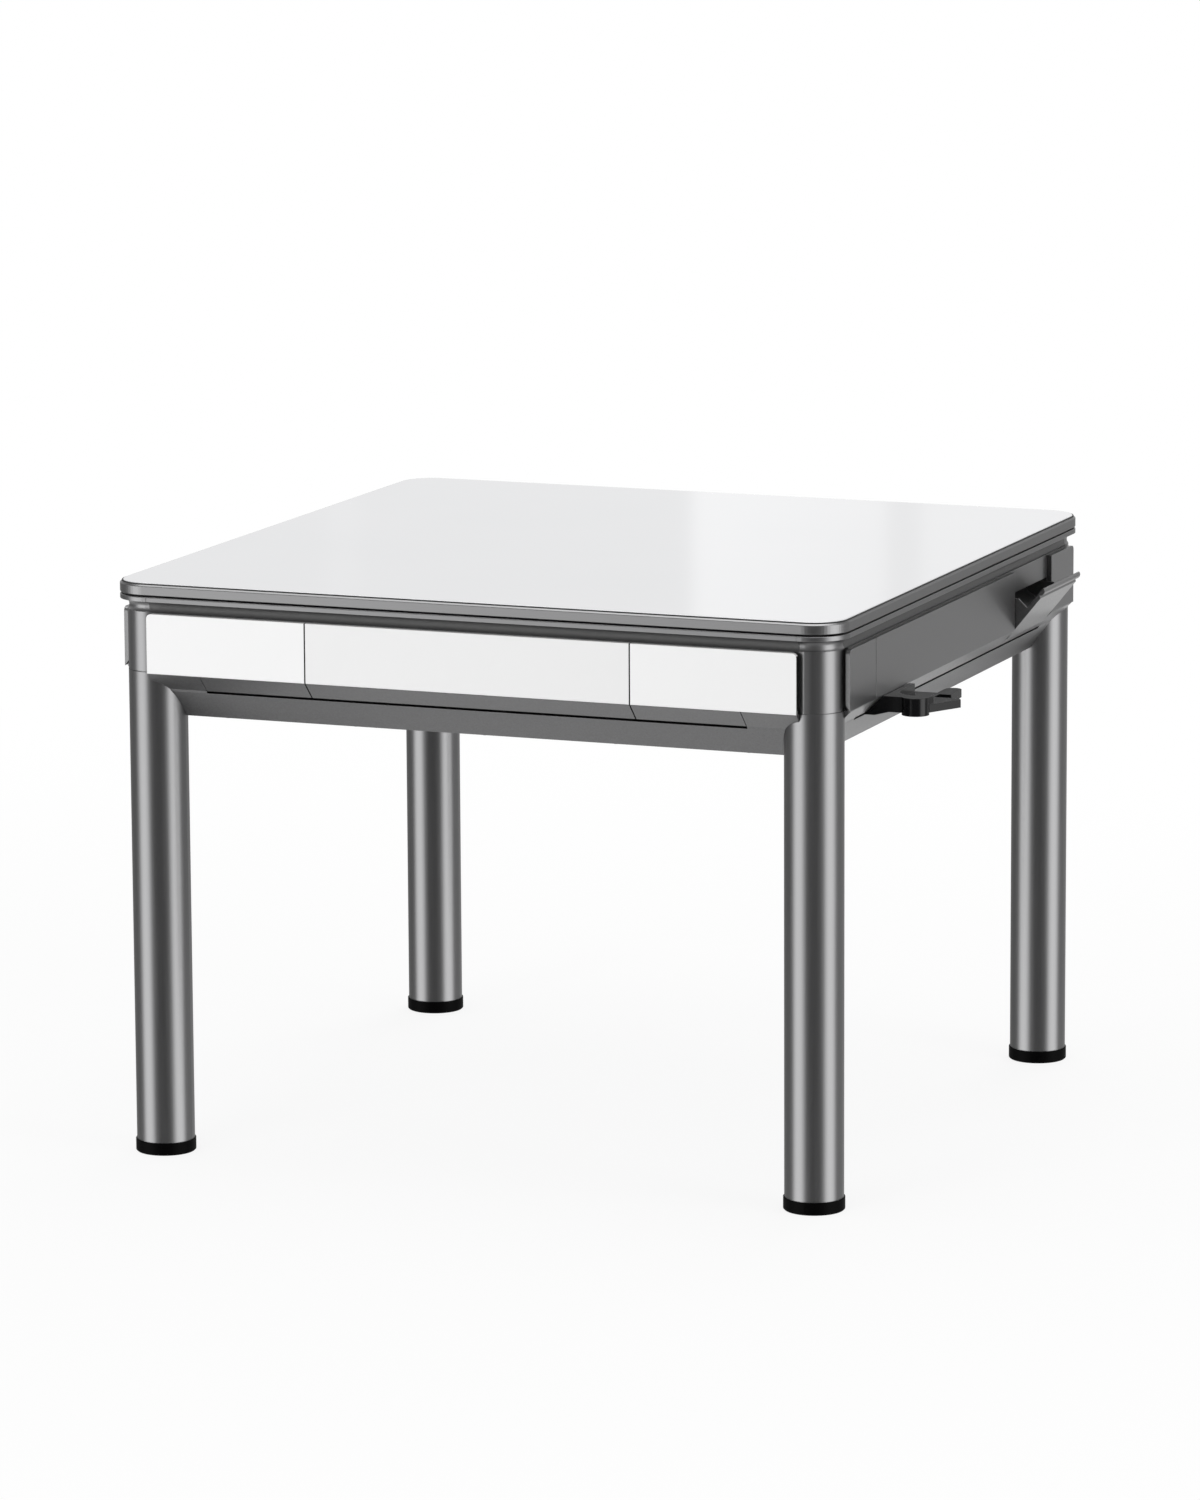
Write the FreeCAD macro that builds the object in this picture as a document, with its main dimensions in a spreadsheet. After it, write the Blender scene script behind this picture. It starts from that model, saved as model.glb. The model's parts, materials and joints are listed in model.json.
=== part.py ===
import FreeCAD, Part
import os
import re
import Sketcher

# Automatic mahjong table with a lift-off dining cover, in millimetres.
# The origin is on the floor under the table's centre, +Z is up and the front player sits at -Y.
# Every side is drawn as the right-hand one (outward is +X, the player's right hand is +Y)
# and turned about Z into its own place.

SIZES = {
    # overall
    "table_width": 1000,
    "table_height": 760,
    # legs, feet and corner posts
    "post_gap": 3.5,
    "leg_diameter": 76,
    "leg_wall": 2,
    "spigot_length": 40,
    "spigot_wall": 4,
    "post_cap": 6,
    "foot_height": 16.5,
    "foot_wall": 1.5,
    "foot_floor": 5,
    "foot_chamfer": 1.5,
    # clearances
    "fit_gap": 0.2,
    "seam_gap": 0.3,
    "split_gap": 1.8,
    "seam_relief": 1,
    "running_clear": 0.05,
    # lift-off cover
    "cover_thickness": 16,
    "band_thickness": 4,
    "board_proud": 2,
    "edge_round": 1.5,
    "pad_thickness": 2,
    "pad_length": 60,
    "pad_width": 14,
    "pad_offset": 30,
    "pad_spacing": 500,
    # rim round the play deck
    "rim_lap": 6.5,
    "rim_height": 21,
    "rim_band": 6.5,
    "cove_depth": 6.5,
    "web_thickness": 4,
    "ledge_reach": 8,
    "ledge_thickness": 4,
    # casing panels and walls
    "panel_top_gap": 1,
    "panel_height": 78,
    "panel_thickness": 6,
    "panel_lap": 6.5,
    "panel_round": 6.5,
    "wall_thickness": 8,
    "wall_setback": 6,
    "opening_height": 64,
    # chin, finger slot and apron
    "chin_run": 22,
    "chin_depth": 12,
    "block_length": 74,
    "slot_height": 3.5,
    "slot_setback": 2,
    "apron_run": 26,
    "apron_height": 35.5,
    "apron_wall": 12,
    "apron_flange": 20,
    "flange_thickness": 3,
    # tilting trays
    "front_tray_width": 149,
    "side_tray_width": 155,
    "side_tray_inset": 17,
    "tray_open": 28,
    "side_tray_open": 39,
    "hinge_cover": 5.5,
    "hinge_height": 6,
    "pin_radius": 2.5,
    "pin_engage": 6,
    "bead_height": 11,
    "bead_bulge": 3.8,
    "bead_crown": 1,
    "neck_depth": 3.2,
    "lip_height": 2.5,
    "side_hinge_rise": 5,
    "barrel_back_angle": 160,
    "face_drop": 9,
    "knee_clear": 0.6,
    "bin_clear": 2.5,
    "bin_back_angle": 137,
    "bin_floor_angle": 165,
    "bin_floor_reach": 50,
    "bin_notch_reach": 29,
    "bin_notch_angle": 127,
    "bin_wall": 2.5,
    "bin_inset": 2.5,
    "side_bin_front_angle": 108,
    "side_bin_back_angle": 150,
    "side_bin_foot_angle": 176,
    "side_bin_root_angle": 190,
    # clip-on cup holder
    "cup_radius": 28,
    "cup_wall": 8,
    "cup_inset": 85,
    "cup_height": 20,
    "cup_floor": 10,
    "cup_near": 45,
    "cup_side": 22,
    "nose_radius": 17.5,
    "nose_side": 4,
    "nose_inset": 10,
    "nose_drop": 3,
    "arm_reach": 47,
    "arm_tip": 16,
    "arm_back": 24,
    "handle_gap": 22,
    "gap_root": 8,
    "tab_root": 9,
    "tab_side": 2,
    "tab_width": 22,
    "tab_reach": 96,
    "chin_clear": 0.5,
    # play deck
    "deck_drop": 38,
    "felt_thickness": 2,
    "deck_thickness": 8,
    # tile lifts
    "lift_inset": 74,
    "lift_width": 24,
    "lift_length": 470,
    "lift_thickness": 12,
    "lift_gap": 0.5,
    "rod_radius": 5,
    "lift_travel": 45,
    "rod_clear": 1.5,
    "rod_spacing": 300,
    "guide_radius": 10,
    "guide_clear": 6.5,
    # base pan and mixing turntable
    "pan_thickness": 1.5,
    "column_radius": 20,
    "column_flange": 60,
    "column_foot": 4,
    "shoulder_radius": 30,
    "table_plate": 4,
    "table_rim": 12,
    "table_rim_wall": 4,
    "hub_radius": 34,
    "hub_height": 25,
    "rib_height": 3,
    "rib_width": 8,
    "thrust_gap": 0.3,
    "roller_radius": 15,
    "roller_height": 14,
    "shaft_radius": 4,
    "shaft_end": 1,
    "motor_length": 84,
    "motor_width": 50,
    "motor_height": 17,
    "motor_clear": 1,
    "motor_gap": 1.7,
    "ring_clear": 36,
    "ring_wall": 4,
    "ring_drop": 27.5,
    "gate_width": 120,
    "gate_depth": 12,
    "shelf_gap": 3.7,
    "shelf_thickness": 3,
    # centre console
    "console_radius": 88,
    "console_proud": 8,
    "console_skirt": 42,
    "console_wall": 4,
    "console_floor": 4,
    "console_gap": 0.6,
    "dome_edge_drop": 6,
    "window_ledge": 3,
    "well_depth": 24,
    "window_radius": 46,
    "window_thickness": 3,
    "window_crown": 3,
    "window_recess": 2,
    "sleeve_wall": 8,
    "sleeve_clear": 11.2,
    "dice_gap": 3,
    "dice_thickness": 2.5,
    "spindle_radius": 4,
    "button_radius": 8,
    "button_angle": 20,
    "button_height": 9.5,
    "button_proud": 2.5,
    "button_travel": 2,
    "button_gap": 0.3,
    # electrics on the base pan
    "unit_inset": 98.4,
    "unit_length": 100,
    "unit_width": 84,
    "unit_height": 56,
    "vent_width": 4,
    "vent_length": 52,
    "vent_pitch": 12,
    "vent_depth": 2,
    "board_length": 104,
    "board_width": 84,
    "board_thickness": 1.6,
    "standoff_height": 10,
    "standoff_radius": 4,
    "chip_height": 9,
    "can_radius": 6,
    "can_height": 20,
    "plug_width": 10,
    "plug_height": 12,
}

# Places and levels that follow from the sizes.
DERIVED = {
    "half": "table_width / 2",
    "leg_radius": "leg_diameter / 2",
    "leg_axis": "panel_back - post_gap - leg_radius",
    "leg_inset": "half - leg_axis",
    "cover_bottom": "table_height - cover_thickness",
    "rim_top": "cover_bottom - pad_thickness",
    "rim_bottom": "rim_top - rim_height",
    "rim_inner": "leg_axis - rim_lap",
    "cove_foot": "leg_axis + leg_radius",
    "cove_chord": "sqrt((half - cove_foot) ^ 2 + (rim_height - rim_band) ^ 2)",
    "cove_radius": "(cove_chord ^ 2 / 4 + cove_depth ^ 2) / (2 * cove_depth)",
    "panel_top": "rim_bottom - panel_top_gap",
    "panel_bottom": "panel_top - panel_height",
    "panel_back": "half - panel_thickness",
    "panel_half": "leg_axis - panel_lap",
    "wall_face": "panel_back - seam_gap",
    "wall_back": "wall_face - wall_thickness",
    "chin_half": "panel_half - block_length",
    "white_split": "chin_half - front_tray_width",
    "tray_high": "chin_half - side_tray_inset",
    "tray_low": "tray_high - side_tray_width",
    "chin_foot": "half - chin_run",
    "chin_bottom": "panel_bottom - chin_run",
    "chin_back": "chin_foot - chin_depth",
    "slot_bottom": "chin_bottom - slot_height",
    "apron_top": "chin_foot - slot_setback",
    "apron_foot": "apron_top - apron_run",
    "apron_bottom": "slot_bottom - apron_height",
    "flange_top": "apron_bottom + flange_thickness",
    "hinge_out": "chin_back + hinge_cover",
    "hinge_setback": "half - hinge_out",
    "hinge_level": "chin_bottom + hinge_height",
    "knee_reach": "sqrt(hinge_setback ^ 2 + (panel_bottom - hinge_level) ^ 2)",
    "bevel_top": "hinge_level + sqrt(knee_reach ^ 2 - (panel_back - hinge_out) ^ 2)",
    "opening_top": "hinge_level + opening_height",
    "half_split": "split_gap / 2",
    "neck_out": "half - neck_depth",
    "bead_top_out": "panel_back + bead_crown",
    "bead_chord": "sqrt((neck_out - bead_top_out) ^ 2 + bead_height ^ 2)",
    "bead_radius": "(bead_chord ^ 2 / 4 + bead_bulge ^ 2) / (2 * bead_bulge)",
    "side_hinge_out": "wall_face - wall_thickness / 2",
    "side_hinge_level": "panel_bottom + side_hinge_rise",
    "side_setback": "half - side_hinge_out",
    "barrel_radius": "sqrt(side_setback ^ 2 + (side_hinge_rise + face_drop) ^ 2)",
    "hollow_radius": "barrel_radius + knee_clear",
    "hollow_reach": "sqrt(hollow_radius ^ 2 - side_hinge_rise ^ 2)",
    "knee_lean": "side_setback - side_hinge_rise",
    "knee_span": "side_setback ^ 2 + side_hinge_rise ^ 2 - hollow_radius ^ 2",
    "hollow_drop": "(knee_lean + sqrt(knee_lean ^ 2 - 2 * knee_span)) / 2",
    "side_bin_reach": "opening_top - bin_clear - side_hinge_level",
    "felt_top": "rim_top - deck_drop",
    "deck_top": "felt_top - felt_thickness",
    "deck_bottom": "deck_top - deck_thickness",
    "deck_half": "rim_inner - seam_gap",
    "ledge_bottom": "deck_bottom - ledge_thickness",
    "bin_radius": "(ledge_bottom - bin_clear - hinge_level) / sin(bin_back_angle - tray_open)",
    "lift_offset": "rim_inner - lift_inset",
    "lift_low": "felt_top - lift_thickness - lift_travel",
    "pan_top": "flange_top + pan_thickness",
    "pan_half": "apron_foot - apron_wall / 2 - 2 * seam_gap",
    "shoulder_top": "pan_top + motor_height + motor_clear",
    "plate_bottom": "shoulder_top + thrust_gap",
    "ring_radius": "lift_offset - guide_radius - ring_clear",
    "ring_top": "deck_bottom - ring_drop",
    "roller_orbit": "ring_radius - ring_wall - motor_gap - motor_width / 2",
    "table_radius": "roller_orbit - roller_radius - seam_gap",
    "shaft_top": "plate_bottom + roller_height + shaft_end",
    "shelf_bottom": "shaft_top + shelf_gap",
    "shelf_top": "shelf_bottom + shelf_thickness",
    "console_top": "felt_top + console_proud",
    "well_floor": "console_top - well_depth",
    "console_under": "well_floor - console_floor",
    "window_seat": "console_top - window_thickness - window_recess",
    "well_radius": "window_radius - window_ledge",
    "dice_radius": "well_radius - dice_gap",
    "button_orbit": "(window_radius + console_gap + console_radius - console_wall) / 2",
    "unit_place": "pan_half - unit_inset",
    "cup_inner": "half + 2 * chin_clear",
    "cup_out": "cup_inner + cup_wall + cup_radius",
    "cup_place": "cup_inset - chin_half",
    "cup_far": "cup_place + arm_back + handle_gap + tab_root",
    "cup_top": "panel_bottom",
    "cup_bottom": "panel_bottom - cup_height",
    "tongue_top": "chin_bottom - chin_clear",
}

ALL_ROUND = ("right", "back", "left", "front")
SIDE_TURN = {"right": 0, "back": 90, "left": 180, "front": 270}

doc = FreeCAD.newDocument("mahjong_table")
sheet = doc.addObject("Spreadsheet::Sheet", "sizes")
for row, (alias, size) in enumerate(SIZES.items(), start=1):
    sheet.set(f"A{row}", str(size))
    sheet.setAlias(f"A{row}", alias)
doc.recompute()

nodes = []


def formula(text):
    # A formula in the names above, written out as one over the sheet's cells.
    def written_out(match):
        word = match.group()
        if word in SIZES:
            return f"sizes.{word}"
        if word in DERIVED:
            return f"({formula(DERIVED[word])})"
        return word

    return re.sub(r"[a-z][a-z_]*", written_out, str(text))


def number(text):
    return float(sheet.evalExpression(formula(text)))


def node(label, turn=0):
    body = doc.addObject("PartDesign::Body", label)
    body.Label = label
    body.Placement = FreeCAD.Placement(
        FreeCAD.Vector(), FreeCAD.Rotation(FreeCAD.Vector(0, 0, 1), turn))
    nodes.append(body)
    return body


def place(body, x="0", y="0", z="0"):
    for axis, text in zip("xyz", (x, y, z)):
        body.setExpression(f"Placement.Base.{axis}", formula(text))


def origin(body, role):
    return next(item for item in body.Origin.OriginFeatures if item.Role == role)


def bind(sketch, kind, where, text):
    index = sketch.addConstraint(Sketcher.Constraint(kind, *where, number(text)))
    sketch.setExpression(f"Constraints[{index}]", formula(text))


def pin_point(sketch, geometry, end, x, y):
    bind(sketch, "DistanceX", (-1, 1, geometry, end), x)
    bind(sketch, "DistanceY", (-1, 1, geometry, end), y)


def draw_circle(sketch, x, y, radius):
    centre = FreeCAD.Vector(number(x), number(y), 0)
    circle = Part.Circle(centre, FreeCAD.Vector(0, 0, 1), number(radius))
    index = sketch.addGeometry(circle, False)
    pin_point(sketch, index, 3, x, y)
    bind(sketch, "Radius", (index,), radius)


def arc_between(start, end, radius, left):
    # The shorter arc from start to end; it turns to the left or to the right.
    chord = end - start
    height = max(radius ** 2 - (chord.Length / 2) ** 2, 0) ** 0.5
    across = FreeCAD.Vector(-chord.y, chord.x, 0).normalize()
    side = 1 if left else -1
    centre = (start + end) * 0.5 + across * height * side
    middle = centre - across * radius * side
    return Part.Arc(start, middle, end)


def draw_outline(sketch, points):
    # Each point is (x, y), or (x, y, radius, turn) where an arc ends at that point.
    spots = [FreeCAD.Vector(number(p[0]), number(p[1]), 0) for p in points]
    first = sketch.GeometryCount
    count = len(points)
    for i in range(count):
        target = points[(i + 1) % count]
        start, end = spots[i], spots[(i + 1) % count]
        if len(target) == 2:
            sketch.addGeometry(Part.LineSegment(start, end), False)
        else:
            arc = arc_between(start, end, number(target[2]), target[3] == "left")
            sketch.addGeometry(arc, False)
    ends = []
    for i in range(count):
        target = points[(i + 1) % count]
        forward = len(target) == 2 or target[3] == "left"
        ends.append((1, 2) if forward else (2, 1))
    for i in range(count):
        follower = (i + 1) % count
        sketch.addConstraint(Sketcher.Constraint(
            "Coincident", first + i, ends[i][1], first + follower, ends[follower][0]))
    for i in range(count):
        pin_point(sketch, first + i, ends[i][0], points[i][0], points[i][1])
        target = points[(i + 1) % count]
        if len(target) == 4:
            bind(sketch, "Radius", (first + i,), target[2])


def new_sketch(body, plane, level, loops):
    # section: outward and up, at a place along the side; elevation: along and up, at an offset;
    # plan: seen from above, at a height.
    role = {"section": "XZ_Plane", "elevation": "YZ_Plane", "plan": "XY_Plane"}[plane]
    sign = "-" if plane == "section" else ""
    sketch = body.newObject("Sketcher::SketchObject", f"{body.Name}_sketch")
    sketch.AttachmentSupport = [(origin(body, role), "")]
    sketch.MapMode = "FlatFace"
    sketch.setExpression("AttachmentOffset.Base.z", f"{sign}({formula(level)})")
    for loop in loops:
        if isinstance(loop, tuple):
            draw_circle(sketch, *loop)
        else:
            draw_outline(sketch, loop)
    return sketch


def block(body, plane, low, high, *loops, cut=False):
    # A pad, or a pocket, of the loops between two levels.
    sketch = new_sketch(body, plane, f"(({low}) + ({high})) / 2", loops)
    kind = "PartDesign::Pocket" if cut else "PartDesign::Pad"
    feature = body.newObject(kind, f"{body.Name}_block")
    feature.Profile = sketch
    feature.SideType = "Symmetric"
    feature.setExpression("Length", formula(f"({high}) - ({low})"))
    return feature


def spun(body, axis, level, outline, angle=360):
    # A turned piece: the outline spun about an upright axis at this distance from Z.
    sketch = new_sketch(body, "section", level, [outline])
    foot = FreeCAD.Vector(number(axis), 0, 0)
    line = sketch.addGeometry(Part.LineSegment(foot, foot + FreeCAD.Vector(0, 1, 0)), True)
    sketch.addConstraint(Sketcher.Constraint("Vertical", line))
    pin_point(sketch, line, 1, axis, "0")
    bind(sketch, "Distance", (line,), "1")
    feature = body.newObject("PartDesign::Revolution", f"{body.Name}_turned")
    feature.Profile = sketch
    feature.ReferenceAxis = (sketch, ["Axis0"])
    feature.Angle = angle
    return feature


def repeat(body, features, count):
    # The features again at equal steps round the table's centre.
    pattern = body.newObject("PartDesign::PolarPattern", f"{body.Name}_pattern")
    pattern.Originals = features
    pattern.Axis = (origin(body, "Z_Axis"), [""])
    pattern.Angle = 360
    pattern.Occurrences = count
    body.Tip = pattern


def soften(body, feature, radius, wanted):
    # Rounds the edges of a feature whose ends both meet the test.
    doc.recompute()
    names = []
    for index, edge in enumerate(feature.Shape.Edges, start=1):
        if all(wanted(vertex.Point) for vertex in edge.Vertexes):
            names.append(f"Edge{index}")
    fillet = body.newObject("PartDesign::Fillet", f"{body.Name}_soft")
    fillet.Base = (feature, names)
    fillet.setExpression("Radius", formula(radius))
    return fillet


def rectangle(x_low, x_high, y_low, y_high):
    return [(x_low, y_low), (x_high, y_low), (x_high, y_high), (x_low, y_high)]


def rounded_square(reach, radius):
    flat = f"({reach}) - ({radius})"
    return [
        (f"-({flat})", f"-({reach})", radius, "left"),
        (flat, f"-({reach})"),
        (reach, f"-({flat})", radius, "left"),
        (reach, flat),
        (flat, reach, radius, "left"),
        (f"-({flat})", reach),
        (f"-({reach})", flat, radius, "left"),
        (f"-({reach})", f"-({flat})"),
    ]


def cope_round_legs(body, clearance):
    # Hollows the ends of a side piece to fit against the two legs beside it.
    radius = f"leg_radius + {clearance}"
    circles = [("leg_axis", f"{sign}leg_axis", radius) for sign in ("", "-")]
    block(body, "plan", "0", "table_height", *circles, cut=True)


# Legs, feet and corner posts

def make_legs():
    for name, x_sign, y_sign in (
            ("front_left", "-", "-"), ("front_right", "", "-"),
            ("back_right", "", ""), ("back_left", "-", "")):
        body = node(f"leg_{name}")
        block(body, "plan", "foot_floor", "panel_bottom",
              ("0", "0", "leg_radius"), ("0", "0", "leg_radius - leg_wall"))
        place(body, f"{x_sign}leg_axis", f"{y_sign}leg_axis")


def make_feet():
    body = node("feet")
    outer = "leg_axis + leg_radius + foot_wall"
    bore = "leg_axis + leg_radius + fit_gap"
    cup = spun(body, "leg_axis", "leg_axis", [
        ("leg_axis", "0"),
        (f"{outer} - foot_chamfer", "0"),
        (outer, "foot_chamfer"),
        (outer, "foot_height"),
        (bore, "foot_height"),
        (bore, "foot_floor"),
        ("leg_axis", "foot_floor"),
    ])
    repeat(body, [cup], 4)


def make_corner_posts():
    body = node("corner_posts")
    spigot = "leg_axis + leg_radius - leg_wall - fit_gap"
    bore = f"{spigot} - spigot_wall"
    spigot_foot = "panel_bottom - spigot_length"
    post = spun(body, "leg_axis", "leg_axis", [
        (bore, spigot_foot),
        (spigot, spigot_foot),
        (spigot, "panel_bottom"),
        ("leg_axis + leg_radius - seam_relief", "panel_bottom"),
        ("leg_axis + leg_radius - seam_relief", "panel_bottom + seam_relief"),
        ("leg_axis + leg_radius", "panel_bottom + seam_relief"),
        ("leg_axis + leg_radius", "rim_bottom"),
        ("leg_axis", "rim_bottom"),
        ("leg_axis", "rim_bottom - post_cap"),
        (bore, "rim_bottom - post_cap"),
    ])
    repeat(body, [post], 4)


# Rim

def rim_outline(inner):
    return [
        (inner, "rim_bottom"),
        (inner, "rim_top"),
        ("half - edge_round", "rim_top"),
        ("half", "rim_top - edge_round", "edge_round", "right"),
        ("half", "rim_top - rim_band"),
        ("cove_foot", "rim_bottom", "cove_radius", "left"),
    ]


def make_rim_rails():
    web = "rim_inner + web_thickness"
    ledge = "rim_inner - ledge_reach"
    reach = "rim_inner - seam_gap"
    short = "leg_axis - leg_radius - split_gap"
    for side in ALL_ROUND:
        body = node(f"rim_rail_{side}", SIDE_TURN[side])
        block(body, "section", f"-({reach})", reach, rim_outline("rim_inner"))
        block(body, "section", f"-({short})", short, [
            (web, "rim_bottom"),
            (web, "ledge_bottom"),
            (ledge, "ledge_bottom"),
            (ledge, "deck_bottom"),
            ("rim_inner", "deck_bottom"),
            ("rim_inner", "rim_bottom"),
        ])


def make_rim_corners():
    body = node("rim_corners")
    along_right = block(body, "section", "rim_inner", "leg_axis", rim_outline("rim_inner"))
    along_back = block(body, "elevation", "rim_inner", "leg_axis", rim_outline("rim_inner"))
    bend = spun(body, "leg_axis", "leg_axis", rim_outline("leg_axis"), 90)
    repeat(body, [along_right, along_back, bend], 4)


# Casing walls, panels, chins and aprons

def make_walls():
    reach = "panel_half - wall_setback"
    for side in ALL_ROUND:
        low, high = tray_span(side)
        body = node(f"wall_{side}", SIDE_TURN[side])
        block(body, "elevation", "wall_back", "wall_face", [
            (f"-({reach})", "panel_bottom"),
            (low, "panel_bottom"),
            (low, "opening_top"),
            (high, "opening_top"),
            (high, "panel_bottom"),
            (reach, "panel_bottom"),
            (reach, "rim_bottom"),
            (f"-({reach})", "rim_bottom"),
        ])
        if side in ("right", "left"):
            block(body, "section", f"{low} - pin_engage", f"{high} + pin_engage",
                  side_hinge_bore(), cut=True)
        cope_round_legs(body, "fit_gap")


def tray_span(side):
    if side in ("right", "left"):
        return "tray_low", "tray_high"
    return "white_split", "chin_half"


def hinge_bore():
    return ("hinge_out", "hinge_level", "pin_radius + running_clear")


def side_hinge_bore():
    return ("side_hinge_out", "side_hinge_level", "pin_radius + running_clear")


def chin_outline():
    # The wedge under a separate face plate, with a lip that locates the plate's bevel.
    return [
        ("chin_foot", "chin_bottom"),
        ("half - 2 * seam_gap", "panel_bottom - 2 * seam_gap"),
        ("panel_back", "panel_bottom + panel_thickness - 4 * seam_gap"),
        ("panel_back", "panel_bottom"),
        ("chin_back", "panel_bottom"),
        ("chin_back", "chin_bottom"),
    ]


def moulded_outline():
    # A face and its chin moulded in one.
    return [
        ("chin_foot", "chin_bottom"),
        ("half", "panel_bottom"),
        ("half", "panel_top"),
        ("panel_back", "panel_top"),
        ("panel_back", "panel_bottom"),
        ("chin_back", "panel_bottom"),
        ("chin_back", "chin_bottom"),
    ]


def hollow_chin_outline():
    # The chin under a side tray, hollowed round the barrel that the tray turns on.
    return [
        ("chin_foot", "chin_bottom"),
        ("half - hollow_drop", "panel_bottom - hollow_drop"),
        ("side_hinge_out - hollow_reach", "panel_bottom", "hollow_radius", "right"),
        ("chin_back", "panel_bottom"),
        ("chin_back", "chin_bottom"),
    ]


def face_plate(body, low, high, round_low=False, round_high=False):
    # A flat plate whose lower edge is bevelled to swing clear of the chin below it.
    outline = [(low, "panel_bottom"), (high, "panel_bottom")]
    if round_high:
        outline.append((high, "panel_top - panel_round"))
        outline.append((f"{high} - panel_round", "panel_top", "panel_round", "left"))
    else:
        outline.append((high, "panel_top"))
    if round_low:
        outline.append((f"{low} + panel_round", "panel_top"))
        outline.append((low, "panel_top - panel_round", "panel_round", "left"))
    else:
        outline.append((low, "panel_top"))
    block(body, "elevation", "panel_back", "half", outline)
    block(body, "section", "-half", "half", [
        ("half", "panel_bottom"),
        ("panel_back", "bevel_top"),
        ("panel_back - panel_thickness", "bevel_top"),
        ("panel_back - panel_thickness", "panel_bottom"),
    ], cut=True)


def make_white_panels():
    for side in ("front", "back"):
        left = node(f"panel_{side}_left", SIDE_TURN[side])
        face_plate(left, "-panel_half", "-white_split - half_split", round_low=True)
        centre = node(f"panel_{side}_centre", SIDE_TURN[side])
        face_plate(centre, "-white_split + half_split", "white_split - half_split")


def make_chin_strips():
    body = node("chin_strips", SIDE_TURN["front"])
    spans = (("-chin_half + half_split", "-white_split - half_split"),
             ("-white_split + half_split", "white_split - half_split"))
    strips = [block(body, "section", low, high, chin_outline(), hinge_bore())
              for low, high in spans]
    repeat(body, strips, 2)


def make_grey_panels():
    for side in ("right", "left"):
        centre = node(f"panel_{side}_centre", SIDE_TURN[side])
        block(centre, "section", "-tray_high + half_split", "tray_low - half_split",
              moulded_outline())
        ends = node(f"panel_{side}_ends", SIDE_TURN[side])
        face_plate(ends, "tray_high + half_split", "leg_axis", round_high=True)
        face_plate(ends, "-leg_axis", "-tray_high - half_split", round_low=True)
        chin_low, chin_high = "tray_high + half_split", "chin_half - seam_gap"
        block(ends, "section", chin_low, chin_high, moulded_outline())
        block(ends, "section", f"-({chin_high})", f"-({chin_low})", moulded_outline())
        block(ends, "section", "tray_low + half_split", chin_low, hollow_chin_outline())


def make_aprons():
    inner = "apron_top - apron_wall"
    upper = [
        ("apron_top", "slot_bottom"),
        ("chin_foot", "chin_bottom"),
        ("half - 2 * seam_gap", "panel_bottom - 2 * seam_gap"),
        ("panel_back", "panel_bottom + panel_thickness - 4 * seam_gap"),
        ("panel_back", "panel_bottom"),
        (inner, "panel_bottom"),
        (inner, "slot_bottom"),
    ]
    lower = [
        ("apron_top", "slot_bottom"),
        (inner, "slot_bottom"),
        ("pan_half + seam_gap", "flange_top"),
        ("apron_foot - apron_flange", "flange_top"),
        ("apron_foot - apron_flange", "apron_bottom"),
        ("apron_foot", "apron_bottom"),
    ]
    for side in ALL_ROUND:
        body = node(f"apron_{side}", SIDE_TURN[side])
        block(body, "section", "-panel_half", "panel_half", lower)
        block(body, "section", "chin_half", "panel_half", upper, hinge_bore())
        block(body, "section", "-panel_half", "-chin_half", upper, hinge_bore())
        cope_round_legs(body, "fit_gap")


# Tilting trays

def around_hinge(reach, angle):
    return (f"hinge_out + ({reach}) * cos({angle})", f"hinge_level + ({reach}) * sin({angle})")


def around_side_hinge(reach, angle):
    return (f"side_hinge_out + ({reach}) * cos({angle})",
            f"side_hinge_level + ({reach}) * sin({angle})")


def tray_front_outline():
    # The chin of a white tray with the backing plate that carries its face.
    backing = "panel_back - bin_wall"
    rest = chin_outline()[:3]
    return rest + [
        ("panel_back", "opening_top - wall_setback"),
        (backing, "opening_top - wall_setback"),
        (backing, "panel_bottom"),
        ("chin_back", "hinge_level + hinge_height"),
        ("chin_back", "chin_bottom"),
    ]


def side_tray_outline():
    # A face with a rolled bead above a lip, moulded in one with the barrel that it turns on.
    neck_level = "panel_top - bead_height"
    return [
        ("half", f"{neck_level} - lip_height"),
        ("neck_out", neck_level),
        ("bead_top_out", "panel_top", "bead_radius", "left"),
        ("panel_back", "panel_top - bead_crown"),
        ("panel_back", "side_hinge_level + 2 * pin_radius"),
        around_side_hinge("barrel_radius", "barrel_back_angle"),
        ("half", "panel_bottom - face_drop", "barrel_radius", "left"),
    ]


def make_bin(body, low, high):
    # Two shaped end cheeks with a floor and a back between them, all inside the swing radius.
    back_top = around_hinge("bin_radius", "bin_back_angle")
    back_foot = around_hinge("bin_floor_reach", "bin_floor_angle")
    front_top = ("panel_back", "opening_top - wall_setback")
    root = ("chin_back", "hinge_level")
    cheek = [
        ("panel_back", "panel_bottom + panel_thickness"),
        front_top,
        around_hinge("bin_notch_reach", "bin_notch_angle"),
        back_top,
        back_foot,
        root,
    ]
    start, end = f"{low} + bin_inset", f"{high} - bin_inset"
    block(body, "section", start, f"{start} + bin_wall", cheek)
    block(body, "section", f"{end} - bin_wall", end, cheek)
    inner_foot = (f"{back_foot[0]} + bin_wall", f"{back_foot[1]} + bin_wall")
    block(body, "section", start, end, [
        root,
        ("chin_back", "hinge_level + hinge_height"),
        inner_foot,
        (f"{back_top[0]} + bin_wall", back_top[1]),
        back_top,
        back_foot,
    ])


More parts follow.
